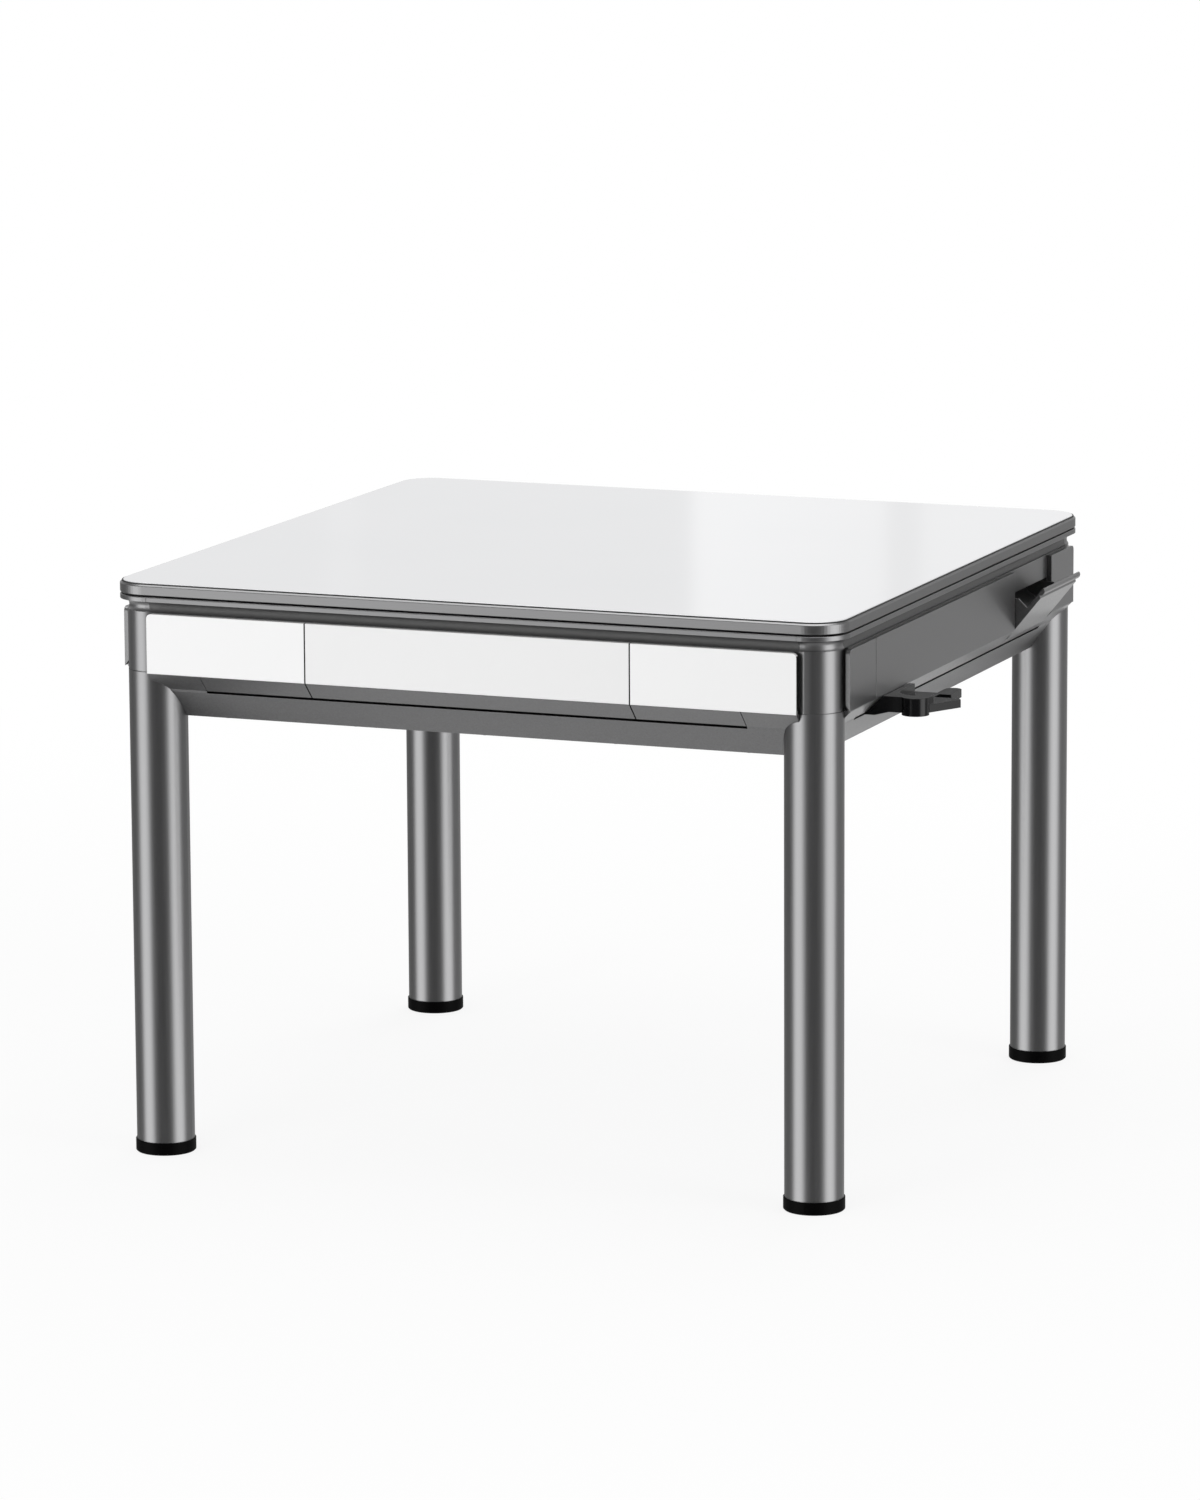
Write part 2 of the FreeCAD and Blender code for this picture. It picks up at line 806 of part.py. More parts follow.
def make_side_bin(body, low, high):
    # Two end cheeks with a floor and a back between them, which all pass under the top of the opening.
    front_top = around_side_hinge("side_bin_reach", "side_bin_front_angle")
    back_top = around_side_hinge("side_bin_reach", "side_bin_back_angle")
    back_foot = around_side_hinge("side_bin_reach", "side_bin_foot_angle")
    root = around_side_hinge("barrel_radius", "side_bin_root_angle")
    cheek = [
        ("panel_back", "side_hinge_level"),
        ("panel_back", "opening_top - wall_setback"),
        front_top,
        back_top,
        back_foot,
        root,
    ]
    block(body, "section", low, f"{low} + bin_wall", cheek)
    block(body, "section", f"{high} - bin_wall", high, cheek)
    block(body, "section", low, high, [
        root,
        around_side_hinge("barrel_radius", "barrel_back_angle"),
        (f"{back_foot[0]} + bin_wall", f"{back_foot[1]} + bin_wall"),
        (f"{back_top[0]} + bin_wall", back_top[1]),
        back_top,
        back_foot,
    ])


def make_trays():
    for side in ("front", "back"):
        low, high = tray_span(side)
        body = node(f"tray_{side}", SIDE_TURN[side])
        start, end = f"{low} + half_split", f"{high} - half_split"
        block(body, "section", start, end, tray_front_outline(), hinge_bore())
        make_bin(body, start, end)
        face = node(f"tray_face_{side}", SIDE_TURN[side])
        face_plate(face, start, "panel_half", round_high=True)
    for side in ("right", "left"):
        low, high = tray_span(side)
        body = node(f"tray_{side}", SIDE_TURN[side])
        start, end = f"{low} + half_split", f"{high} - half_split"
        block(body, "section", start, end, side_tray_outline())
        make_side_bin(body, start, end)
        block(body, "section", start, end, side_hinge_bore(), cut=True)
        if side == "right":
            tilt_open(body)


def tilt_open(body):
    # The right-hand tray stands open, turned about its hinge pin.
    turn, out, level = "side_tray_open", "side_hinge_out", "side_hinge_level"
    body.Placement = FreeCAD.Placement(
        FreeCAD.Vector(), FreeCAD.Rotation(FreeCAD.Vector(0, 1, 0), number(turn)))
    body.setExpression("Placement.Rotation.Angle", formula(turn))
    place(body,
          x=f"{out} - {out} * cos({turn}) - {level} * sin({turn})",
          z=f"{level} - {level} * cos({turn}) + {out} * sin({turn})")


def make_hinge_pins():
    body = node("hinge_pins")
    side_pin = block(body, "section", "tray_low - pin_engage", "tray_high + pin_engage",
                     ("side_hinge_out", "side_hinge_level", "pin_radius"))
    front_pin = block(body, "elevation", "white_split - pin_engage", "chin_half + pin_engage",
                      ("-hinge_out", "hinge_level", "pin_radius"))
    repeat(body, [side_pin, front_pin], 2)


# Cup holder

def make_cup_holder():
    # A hook that slides in the finger slot, a shallow well with a raised near wall and a rounded nose,
    # an arm under the cup's handle side and a finger tab beyond the handle gap.
    body = node("cup_holder", SIDE_TURN["right"])
    near = "cup_place - cup_near"
    near_corner = ("cup_out + cup_side", f"{near} + nose_inset + nose_side")
    arm_out, arm_back = "cup_out + arm_reach", "cup_place + arm_back"
    gap_back = f"{arm_back} + handle_gap"
    tab_low, tab_high = "cup_out + tab_side", "cup_out + tab_side + tab_width"
    tab_end = "cup_place + tab_reach"
    block(body, "section", near, "cup_far", [
        ("chin_back + seam_gap", "slot_bottom + chin_clear"),
        ("chin_foot + chin_depth", "slot_bottom + chin_clear"),
        ("cup_out - cup_radius", "cup_bottom"),
        ("cup_out - cup_radius", "cup_top"),
        ("cup_inner", "cup_top"),
        ("chin_foot + chin_clear", "tongue_top"),
        ("chin_back + seam_gap", "tongue_top"),
    ])
    block(body, "plan", "cup_bottom", "cup_bottom + cup_floor", [
        ("cup_inner", near),
        ("cup_out + nose_side", near),
        near_corner,
        (arm_out, "cup_place + arm_tip"),
        (f"{arm_out} - (arm_back - arm_tip) / 2", arm_back),
        ("cup_out + gap_root", arm_back),
        ("cup_out + gap_root", gap_back),
        (tab_high, gap_back),
        (tab_high, f"{tab_end} - tab_width / 2"),
        (f"{tab_low} + tab_width / 2", tab_end, "tab_width / 2", "left"),
        (tab_low, f"{tab_end} - tab_width / 2", "tab_width / 2", "left"),
        (tab_low, "cup_far"),
        ("cup_inner", "cup_far"),
    ])
    block(body, "plan", "cup_bottom", "cup_top", [
        ("cup_inner", near),
        ("cup_out + nose_side", near),
        near_corner,
        ("cup_out + cup_side", "cup_place"),
        ("cup_inner", "cup_place"),
    ])
    block(body, "plan", "cup_bottom - nose_drop", "cup_top",
          ("cup_out + nose_side", f"{near} + nose_inset", "nose_radius"))
    block(body, "plan", "cup_bottom + cup_floor", "cup_top + cup_floor",
          ("cup_out", "cup_place", "cup_radius"), cut=True)


# Lift-off cover

def make_cover():
    board = node("cover_board")
    board_half = "half - band_thickness"
    slab = block(board, "plan", "cover_bottom", "table_height",
                 rounded_square(board_half, "leg_inset - band_thickness"))
    top = number("table_height")
    soften(board, slab, "edge_round", lambda point: abs(point.z - top) < 0.01)
    band = node("cover_band")
    band_half = "half - band_thickness + fit_gap"
    ring = block(band, "plan", "cover_bottom", "table_height - board_proud",
                 rounded_square("half", "leg_inset"),
                 rounded_square(band_half, "leg_inset - band_thickness + fit_gap"))
    reach = number("leg_inset - band_thickness / 2")
    axis = number("leg_axis")

    def on_outside(point):
        along = max(abs(point.x) - axis, 0)
        across = max(abs(point.y) - axis, 0)
        return (along ** 2 + across ** 2) ** 0.5 > reach

    level = {number("cover_bottom"), number("table_height - board_proud")}
    soften(band, ring, "edge_round", lambda point: on_outside(point)
           and any(abs(point.z - z) < 0.01 for z in level))
    pads = node("cover_pads")
    middle = "half - pad_offset"
    along = [block(pads, "plan", "rim_top", "cover_bottom", rectangle(
        f"{middle} - pad_width / 2", f"{middle} + pad_width / 2",
        f"{sign}pad_spacing / 2 - pad_length / 2", f"{sign}pad_spacing / 2 + pad_length / 2"))
        for sign in ("", "-")]
    repeat(pads, along, 4)


# Play deck and tile lifts

def deck_sheet(label, low, high):
    # A square sheet notched round the corner posts, with the lifts' slots and the console hole.
    body = node(label)
    block(body, "plan", low, high, rectangle("-deck_half", "deck_half", "-deck_half", "deck_half"))
    notch = block(body, "plan", low, high,
                  ("leg_axis", "leg_axis", "leg_radius + seam_gap"), cut=True)
    slot = block(body, "plan", low, high, rectangle(
        "lift_offset - lift_width / 2 - lift_gap", "lift_offset + lift_width / 2 + lift_gap",
        "-lift_length / 2 - lift_gap", "lift_length / 2 + lift_gap"), cut=True)
    repeat(body, [notch, slot], 4)
    hole = block(body, "plan", low, high, ("0", "0", "console_radius + console_gap"), cut=True)
    body.Tip = hole


def make_deck():
    deck_sheet("play_deck", "deck_bottom", "deck_top")
    deck_sheet("play_felt", "deck_top", "felt_top")


def make_lifts():
    bar_bottom = "felt_top - lift_thickness"
    for side in ALL_ROUND:
        body = node(f"tile_lift_{side}", SIDE_TURN[side])
        block(body, "plan", bar_bottom, "felt_top", rectangle(
            "lift_offset - lift_width / 2", "lift_offset + lift_width / 2",
            "-lift_length / 2", "lift_length / 2"))
        rods = [("lift_offset", f"{sign}rod_spacing / 2", "rod_radius") for sign in ("", "-")]
        block(body, "plan", "pan_top + lift_travel + rod_clear", bar_bottom, *rods)
    guides = node("lift_guides")
    bushes = []
    for sign in ("", "-"):
        centre = ("lift_offset", f"{sign}rod_spacing / 2")
        bushes.append(block(guides, "plan", "pan_top", "lift_low - guide_clear",
                            (*centre, "guide_radius"), (*centre, "rod_radius + running_clear")))
    repeat(guides, bushes, 4)


# Base pan, turntable and its drive

def make_base_pan():
    body = node("base_pan")
    block(body, "plan", "flange_top", "pan_top",
          rectangle("-pan_half", "pan_half", "-pan_half", "pan_half"))
    notch = block(body, "plan", "flange_top", "pan_top",
                  ("leg_axis", "leg_axis", "leg_radius + seam_gap"), cut=True)
    repeat(body, [notch], 4)


def make_column():
    body = node("centre_column")
    spun(body, "0", "0", [
        ("0", "pan_top"),
        ("column_flange", "pan_top"),
        ("column_flange", "pan_top + column_foot"),
        ("shoulder_radius", "pan_top + column_foot"),
        ("shoulder_radius", "shoulder_top"),
        ("column_radius", "shoulder_top"),
        ("column_radius", "console_under - thrust_gap"),
        ("0", "console_under - thrust_gap"),
    ])


def make_turntable():
    body = node("turntable")
    bore = "column_radius + running_clear"
    plate_top = "plate_bottom + table_plate"
    inner = "table_radius - table_rim_wall"
    spun(body, "0", "0", [
        (bore, "plate_bottom"),
        ("table_radius", "plate_bottom"),
        ("table_radius", f"{plate_top} + table_rim"),
        (inner, f"{plate_top} + table_rim"),
        (inner, plate_top),
        ("hub_radius", plate_top),
        ("hub_radius", "plate_bottom + hub_height"),
        (bore, "plate_bottom + hub_height"),
    ])
    rib = block(body, "plan", plate_top, f"{plate_top} + rib_height", rectangle(
        "hub_radius - table_rim_wall", f"{inner} + table_rim_wall / 2",
        "-rib_width / 2", "rib_width / 2"))
    repeat(body, [rib], 6)


def make_drive():
    corner = "roller_orbit * cos(45)"
    motor = node("drive_motor", 45)
    flank = "motor_width / 2"
    rear = f"{flank} - motor_length"
    block(motor, "plan", "pan_top", "pan_top + motor_height", [
        (rear, f"-{flank}"),
        ("0", f"-{flank}"),
        (flank, "0", flank, "left"),
        ("0", flank, flank, "left"),
        (rear, flank),
    ])
    block(motor, "plan", "pan_top + motor_height", "shaft_top", ("0", "0", "shaft_radius"))
    place(motor, corner, corner)
    roller = node("drive_roller")
    block(roller, "plan", "plate_bottom", "plate_bottom + roller_height",
          ("0", "0", "roller_radius"), ("0", "0", "shaft_radius + running_clear"))
    place(roller, corner, corner)


def make_hopper_ring():
    body = node("hopper_ring")
    inner = "ring_radius - ring_wall"
    lip = "table_radius + ring_wall"
    spun(body, "0", "0", [
        (inner, "pan_top"),
        ("ring_radius", "pan_top"),
        ("ring_radius", "ring_top"),
        (inner, "ring_top"),
        (inner, "shelf_top"),
        (lip, "shelf_top"),
        (lip, "shelf_bottom"),
        (inner, "shelf_bottom"),
    ])
    gate = block(body, "plan", "ring_top - gate_depth", "ring_top + gate_depth", rectangle(
        "table_radius", "lift_offset", "-gate_width / 2", "gate_width / 2"), cut=True)
    repeat(body, [gate], 4)


# Centre console

def make_console():
    body = node("console")
    sleeve = "column_radius + running_clear"
    sleeve_foot = "plate_bottom + hub_height + sleeve_clear"
    skirt_foot = "console_top - dome_edge_drop - console_skirt"
    skirt = "console_radius - console_wall"
    spindle = "spindle_radius + running_clear"
    spun(body, "0", "0", [
        (spindle, "console_under"),
        (sleeve, "console_under"),
        (sleeve, sleeve_foot),
        (f"{sleeve} + sleeve_wall", sleeve_foot),
        (f"{sleeve} + sleeve_wall", "console_under - console_floor"),
        (skirt, "console_under - console_floor"),
        (skirt, skirt_foot),
        ("console_radius", skirt_foot),
        ("console_radius", "console_top - dome_edge_drop"),
        ("window_radius + console_gap", "console_top"),
        ("window_radius + console_gap", "window_seat"),
        ("well_radius", "window_seat"),
        ("well_radius", "well_floor"),
        (spindle, "well_floor"),
    ])
    wells = [(*button_place(sign), "button_radius + button_gap") for sign in ("", "-")]
    well_bottom = f"{button_foot()} - button_travel - button_gap"
    block(body, "plan", well_bottom, "console_top + button_height", *wells, cut=True)
    window = node("console_window")
    spun(window, "0", "0", [
        ("0", "window_seat"),
        ("window_radius", "window_seat"),
        ("window_radius", "window_seat + window_thickness"),
        ("0", "window_seat + window_thickness + window_crown",
         "(window_radius ^ 2 + window_crown ^ 2) / (2 * window_crown)", "left"),
    ])
    plate = node("dice_plate")
    spun(plate, "0", "0", [
        ("0", "console_under + thrust_gap"),
        ("spindle_radius", "console_under + thrust_gap"),
        ("spindle_radius", "well_floor + thrust_gap"),
        ("dice_radius", "well_floor + thrust_gap"),
        ("dice_radius", "well_floor + thrust_gap + dice_thickness"),
        ("0", "well_floor + thrust_gap + dice_thickness"),
    ])
    for label, sign in (("lift_button", ""), ("dice_button", "-")):
        button = node(label)
        x, y = button_place(sign)
        block(button, "plan", button_foot(), f"{button_foot()} + button_height",
              ("0", "0", "button_radius"))
        place(button, x, y)


def button_place(sign):
    return f"{sign}button_orbit * sin(button_angle)", "-button_orbit * cos(button_angle)"


def button_foot():
    # The buttons stand proud of the console's slope, taken midway between its edge and its window.
    rise = "dome_edge_drop * (console_radius - button_orbit)"
    slope = f"console_top - dome_edge_drop + {rise} / (console_radius - window_radius)"
    return f"{slope} + button_proud - button_height"


# Electrics on the base pan

def make_electrics():
    unit = node("power_unit")
    block(unit, "plan", "pan_top", "pan_top + unit_height", rectangle(
        "-unit_length / 2", "unit_length / 2", "-unit_width / 2", "unit_width / 2"))
    vents = [rectangle(f"{step} * vent_pitch - vent_width / 2", f"{step} * vent_pitch + vent_width / 2",
                       "-vent_length / 2", "vent_length / 2") for step in range(-3, 4)]
    block(unit, "plan", "pan_top + unit_height - vent_depth", "pan_top + unit_height + vent_depth",
          *vents, cut=True)
    place(unit, "-unit_place", "unit_place")
    card = node("control_board")
    card_bottom = "pan_top + standoff_height"
    card_top = f"{card_bottom} + board_thickness"
    corner_x, corner_y = "board_length / 2 - standoff_radius", "board_width / 2 - standoff_radius"
    legs = [(f"{sx}({corner_x})", f"{sy}({corner_y})", "standoff_radius - seam_gap")
            for sx in ("", "-") for sy in ("", "-")]
    block(card, "plan", card_bottom, card_top, rectangle(
        "-board_length / 2", "board_length / 2", "-board_width / 2", "board_width / 2"))
    block(card, "plan", "pan_top", card_bottom, *legs)
    block(card, "plan", card_top, f"{card_top} + chip_height", rectangle(
        "-board_length / 4", "0", "-board_width / 4", "board_width / 4"))
    cans = [("board_length / 4", f"{step} * board_width / 4", "can_radius") for step in (-1, 0, 1)]
    block(card, "plan", card_top, f"{card_top} + can_height", *cans)
    plug_edge = "board_length / 2 - 2 * standoff_radius"
    block(card, "plan", card_top, f"{card_top} + plug_height", rectangle(
        f"-({plug_edge})", f"-({plug_edge}) + plug_width", "-board_width / 4", "board_width / 4"))
    place(card, "unit_place", "-unit_place")


make_legs()
make_feet()
make_corner_posts()
make_rim_rails()
make_rim_corners()
make_walls()
make_aprons()
make_white_panels()
make_chin_strips()
make_grey_panels()
make_trays()
make_hinge_pins()
make_cup_holder()
make_cover()
make_deck()
make_lifts()
make_base_pan()
make_column()
make_turntable()
make_drive()
make_hopper_ring()
make_console()
make_electrics()
doc.recompute()

for item in doc.Objects:
    if "Invalid" in item.State or "Error" in item.State:
        raise RuntimeError(f"{item.Label} failed to build: {item.State}")
for body in nodes:
    if body.Shape.isNull() or not body.Shape.isValid():
        raise RuntimeError(f"{body.Label} has no valid shape")

os.makedirs("parts", exist_ok=True)
for body in nodes:
    body.Shape.exportStep(f"parts/{body.Label}.step")
    print(body.Label, len(body.Shape.Solids), "solids", round(body.Shape.Volume / 1000, 2), "cm3")
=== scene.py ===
import json
import math
import bmesh
import bpy
from mathutils import Matrix, Vector


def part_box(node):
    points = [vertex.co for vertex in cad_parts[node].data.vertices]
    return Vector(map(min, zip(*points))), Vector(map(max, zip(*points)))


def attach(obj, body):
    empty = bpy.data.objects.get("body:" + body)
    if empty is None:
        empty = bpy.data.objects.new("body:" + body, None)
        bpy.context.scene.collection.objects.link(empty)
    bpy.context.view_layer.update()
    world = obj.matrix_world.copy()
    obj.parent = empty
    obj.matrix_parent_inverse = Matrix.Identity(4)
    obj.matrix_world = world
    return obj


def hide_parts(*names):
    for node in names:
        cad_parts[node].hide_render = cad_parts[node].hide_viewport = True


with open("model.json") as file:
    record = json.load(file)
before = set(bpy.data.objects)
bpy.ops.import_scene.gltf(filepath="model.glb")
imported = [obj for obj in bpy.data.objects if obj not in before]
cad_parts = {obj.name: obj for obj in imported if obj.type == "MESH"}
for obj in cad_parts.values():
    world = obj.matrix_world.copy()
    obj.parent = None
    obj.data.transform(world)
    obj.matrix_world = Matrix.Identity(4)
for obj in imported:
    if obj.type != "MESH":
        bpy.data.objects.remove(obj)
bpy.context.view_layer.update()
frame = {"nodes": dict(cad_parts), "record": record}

nodes = frame["nodes"]
mm = 0.001
near = 0.01 * mm           # points closer than this are one point
edgeRays = 6               # samples of an edge that the shader rounds
quarterTurn = math.pi / 2


def srgb(hexText):
    levels = [int(hexText[i:i + 2], 16) / 255 for i in (1, 3, 5)]
    return [v / 12.92 if v <= 0.04045 else ((v + 0.055) / 1.055) ** 2.4 for v in levels] + [1.0]


def addNode(tree, kind, values=None, links=None, feeds=None, **settings):
    # one node: its settings, its socket values, what comes in and where its outputs go
    node = tree.nodes.new(kind)
    for name, value in settings.items():
        setattr(node, name, value)
    for socket, value in (values or {}).items():
        node.inputs[socket].default_value = value
    for socket, source in (links or {}).items():
        tree.links.new(source, node.inputs[socket])
    for socket, target in (feeds or {}).items():
        tree.links.new(node.outputs[socket], target)
    return node


def newMaterial(name, values):
    # a plain material with these values on its shader, and the coordinates that its patterns read
    material = bpy.data.materials.new(name)
    material.use_nodes = True
    tree = material.node_tree
    shader = tree.nodes["Principled BSDF"]
    for socket, value in values.items():
        shader.inputs[socket].default_value = value
    return material, tree, shader, addNode(tree, "ShaderNodeTexCoord").outputs["Object"]


def shade(tree, shader, tone, colours, roughness=None):
    # a pattern's tone goes from one colour to the other, and from one roughness to the other
    skin = addNode(tree, "ShaderNodeMix", {6: srgb(colours[0]), 7: srgb(colours[1])}, {0: tone},
                   {2: shader.inputs["Base Color"]}, data_type="RGBA")
    if roughness is None:
        return skin, None
    satin = addNode(tree, "ShaderNodeMapRange", {3: roughness[0], 4: roughness[1]}, {0: tone},
                    {0: shader.inputs["Roughness"]})
    return skin, satin


# the view of the photograph, from the front right and a little above the top

cameraSettings = {
    "lens": 167.6,
    "sensor": 36.0,
    "place": (3.38565, -8.53121, 2.18635),
    "right": (0.92922, 0.36949, -0.00541),
    "up": (-0.06248, 0.17152, 0.98320),
    "back": (0.36421, -0.91327, 0.18247),
}


def makeCamera(s):
    data = bpy.data.cameras.new("camera")
    data.lens = s["lens"]
    data.sensor_fit = "VERTICAL"
    data.sensor_height = s["sensor"]
    camera = bpy.data.objects.new("camera", data)
    bpy.context.collection.objects.link(camera)
    turn = Matrix((s["right"], s["up"], s["back"])).transposed().to_4x4()
    camera.matrix_world = Matrix.Translation(s["place"]) @ turn
    bpy.context.scene.camera = camera


# studio: a white room that mirrors in the metal, with a soft box on each side and one overhead

upwards = (0.0, 0.0, 1.0)
front = (0.3704, -0.9289, 0.0)
across = (0.9289, 0.3704, 0.0)
boxEdge = ((0.87, 0.0), (0.985, 1.0))
studio = {
    "ambient": 0.56,  # what the room gives to matt surfaces
    # A light is the product of its shares. Each share depends on the cosine along one direction, by a row of greys
    # from -reach to reach, or by a fade from one (cosine, level) to another.
    "lights": (
        # the room, from straight down to straight up: paper, dark floor, white walls, grey ceiling; darker in front
        ({"along": upwards, "reach": 1.0,
          "greys": ((0.0, 1.0), (0.27, 0.85), (0.39, 0.32), (0.49, 0.32),
                    (0.55, 0.86), (0.64, 0.86), (0.72, 0.5), (1.0, 0.5))},
         {"along": front, "fade": ((0.80, 1.0), (0.97, 0.55))}),
        # pale screens behind the table, which the top mirrors, from left to right
        ({"along": front, "fade": ((-0.97, 1.0), (-0.9, 0.0))},
         {"along": upwards, "fade": ((0.02, 0.0), (0.08, 1.0))},
         {"along": across, "reach": 0.08,
          "greys": ((0.0, 0.0), (0.245, 0.0), (0.262, 0.035), (0.275, 0.035), (0.29, 0.0), (0.579, 0.0),
                    (0.59, 0.23), (0.757, 0.15), (0.763, 0.0), (0.788, 0.0), (0.794, 0.125), (1.0, 0.125))}),
        # soft box at the left
        ({"along": (-0.686, -0.727, 0.0), "fade": boxEdge},
         {"along": upwards, "fade": ((-0.75, 0.0), (-0.4, 3.5))},
         {"along": upwards, "fade": ((-0.02, 1.0), (0.22, 0.0))}),
        # soft box at the right
        ({"along": (0.994, -0.113, 0.0), "fade": boxEdge},
         {"along": upwards, "fade": ((-0.75, 0.0), (-0.4, 3.45))},
         {"along": upwards, "fade": ((0.45, 1.0), (0.75, 0.0))}),
        # pale card at the back
        ({"along": (0.363, 0.931, 0.0), "fade": ((0.5, 0.0), (0.94, 1.0))},
         {"along": upwards, "fade": ((-0.75, 0.0), (-0.4, 0.23))},
         {"along": upwards, "fade": ((-0.05, 1.0), (0.12, 0.0))}),
        # soft box overhead
        ({"along": upwards, "fade": ((0.78, 0.0), (0.92, 4.6))},),
    ),
}


def makeStudio(s):
    world = bpy.data.worlds.new("studio")
    bpy.context.scene.world = world
    world.use_nodes = True
    world.cycles.sampling_method = "NONE"
    tree = world.node_tree
    tree.nodes.clear()
    towards = addNode(tree, "ShaderNodeTexCoord").outputs["Generated"]
    flat = addNode(tree, "ShaderNodeVectorMath", {1: (1, 1, 0)}, {0: towards}, operation="MULTIPLY")
    level = addNode(tree, "ShaderNodeVectorMath", links={0: flat.outputs[0]}, operation="NORMALIZE").outputs[0]
    room = None
    for light in s["lights"]:
        glow = None
        for share in light:
            cosine = addNode(tree, "ShaderNodeVectorMath", {1: share["along"]},
                             {0: towards if share["along"] == upwards else level},
                             operation="DOT_PRODUCT").outputs["Value"]
            if "greys" in share:
                span = addNode(tree, "ShaderNodeMapRange", {1: -share["reach"], 2: share["reach"]}, {0: cosine})
                made = addNode(tree, "ShaderNodeValToRGB", links={0: span.outputs[0]})
                stops = made.color_ramp.elements
                while len(stops) < len(share["greys"]):
                    stops.new(0.5)
                for stop, (place, grey) in zip(stops, share["greys"]):
                    stop.position = place
                    stop.color = (grey, grey, grey, 1.0)
            else:
                (start, low), (end, high) = share["fade"]
                made = addNode(tree, "ShaderNodeMapRange", {1: start, 2: end, 3: low, 4: high}, {0: cosine},
                               interpolation_type="SMOOTHSTEP")
            if glow:
                made = addNode(tree, "ShaderNodeMath", links={0: glow.outputs[0], 1: made.outputs[0]},
                               operation="MULTIPLY")
            glow = made
        if room:
            glow = addNode(tree, "ShaderNodeMath", links={0: room.outputs[0], 1: glow.outputs[0]}, operation="ADD")
        room = glow
    rays = addNode(tree, "ShaderNodeLightPath").outputs
    mirrored = addNode(tree, "ShaderNodeMath", links={0: rays["Is Glossy Ray"], 1: rays["Is Transmission Ray"]},
                       operation="ADD", use_clamp=True)
    seen = addNode(tree, "ShaderNodeMix", {2: s["ambient"]}, {0: mirrored.outputs[0], 3: room.outputs[0]})
    shown = addNode(tree, "ShaderNodeMix", {3: 1.0}, {0: rays["Is Camera Ray"], 2: seen.outputs[0]})
    output = addNode(tree, "ShaderNodeOutputWorld")
    addNode(tree, "ShaderNodeBackground", {0: srgb("#FFFFFF")}, {1: shown.outputs[0]}, {0: output.inputs["Surface"]})


lamps = {
    "overhead": {"place": (-0.4, 0.2, 4.2), "aim": (0, 0, 0.7), "size": (3.4, 3.4), "power": 39},
    "left": {"place": (-1.2, -4.4, 1.9), "aim": (0, 0, 0.6), "size": (2.0, 2.6), "power": 48},
    "right": {"place": (4.2, -1.0, 1.9), "aim": (0, 0, 0.6), "size": (2.0, 2.6), "power": 40},
    "back": {"place": (0.2, 4.4, 2.2), "aim": (0, 0, 0.6), "size": (2.6, 2.2), "power": 58},
}


def makeLamps(settings):
    for name, s in settings.items():
        data = bpy.data.lights.new(name, "AREA")
        data.shape = "RECTANGLE"
        data.size, data.size_y = s["size"]
        data.energy = s["power"]
        lamp = bpy.data.objects.new(name, data)
        bpy.context.collection.objects.link(lamp)
        lamp.location = s["place"]
        lamp.rotation_euler = (Vector(s["aim"]) - Vector(s["place"])).to_track_quat("-Z", "Y").to_euler()
        lamp.visible_glossy = False  # their mirror images are the studio's soft boxes


floorSettings = {
    "size": 60.0,
    "colour": "#F4F4F4",
    "white": (0.86, 1.0),  # share of plain white under the table and far from it
    "fade": (0.9, 3.2),    # how far away the one ends and the other starts
}


def makeFloor(s):
    bm = bmesh.new()
    bmesh.ops.create_grid(bm, x_segments=1, y_segments=1, size=s["size"] / 2)
    mesh = bpy.data.meshes.new("floor")
    bm.to_mesh(mesh)
    bm.free()
    floor = bpy.data.objects.new("floor", mesh)
    bpy.context.collection.objects.link(floor)
    # seamless paper: white to the eye, with part of its own shading kept for the table's shadow
    material, tree, shader, place = newMaterial(
        "seamless paper", {"Base Color": srgb(s["colour"]), "Roughness": 1.0, "Specular IOR Level": 0.0})
    rays = addNode(tree, "ShaderNodeLightPath").outputs
    mirrored = addNode(tree, "ShaderNodeMath", links={0: rays["Is Glossy Ray"], 1: rays["Is Transmission Ray"]},
                       operation="ADD")
    seen = addNode(tree, "ShaderNodeMath", links={0: rays["Is Camera Ray"], 1: mirrored.outputs[0]},
                   operation="ADD", use_clamp=True)
    away = addNode(tree, "ShaderNodeVectorMath", links={0: place}, operation="LENGTH")
    (start, end), (low, high) = s["fade"], s["white"]
    white = addNode(tree, "ShaderNodeMapRange", {1: start, 2: end, 3: low, 4: high}, {0: away.outputs["Value"]},
                    interpolation_type="SMOOTHSTEP")
    share = addNode(tree, "ShaderNodeMath", links={0: seen.outputs[0], 1: white.outputs[0]}, operation="MULTIPLY")
    glow = addNode(tree, "ShaderNodeEmission", {"Color": srgb("#FFFFFF"), "Strength": 1.0})
    paper = addNode(tree, "ShaderNodeMixShader",
                    links={0: share.outputs[0], 1: shader.outputs[0], 2: glow.outputs[0]})
    # the paper has no back, so that the underside of the table shows
    under = addNode(tree, "ShaderNodeNewGeometry").outputs["Backfacing"]
    clear = addNode(tree, "ShaderNodeBsdfTransparent")
    addNode(tree, "ShaderNodeMixShader", links={0: under, 1: paper.outputs[0], 2: clear.outputs[0]},
            feeds={0: tree.nodes["Material Output"].inputs["Surface"]})
    mesh.materials.append(material)
    floor.visible_glossy = False  # the metal mirrors the white room instead


# finishes

laminateSettings = {
    "colours": ("#E6E6E8", "#E2E3E5"),
    "roughness": 0.06,
    "cloud": 240 * mm,
    "peel": 9 * mm,
    "depth": 0.02 * mm,
}


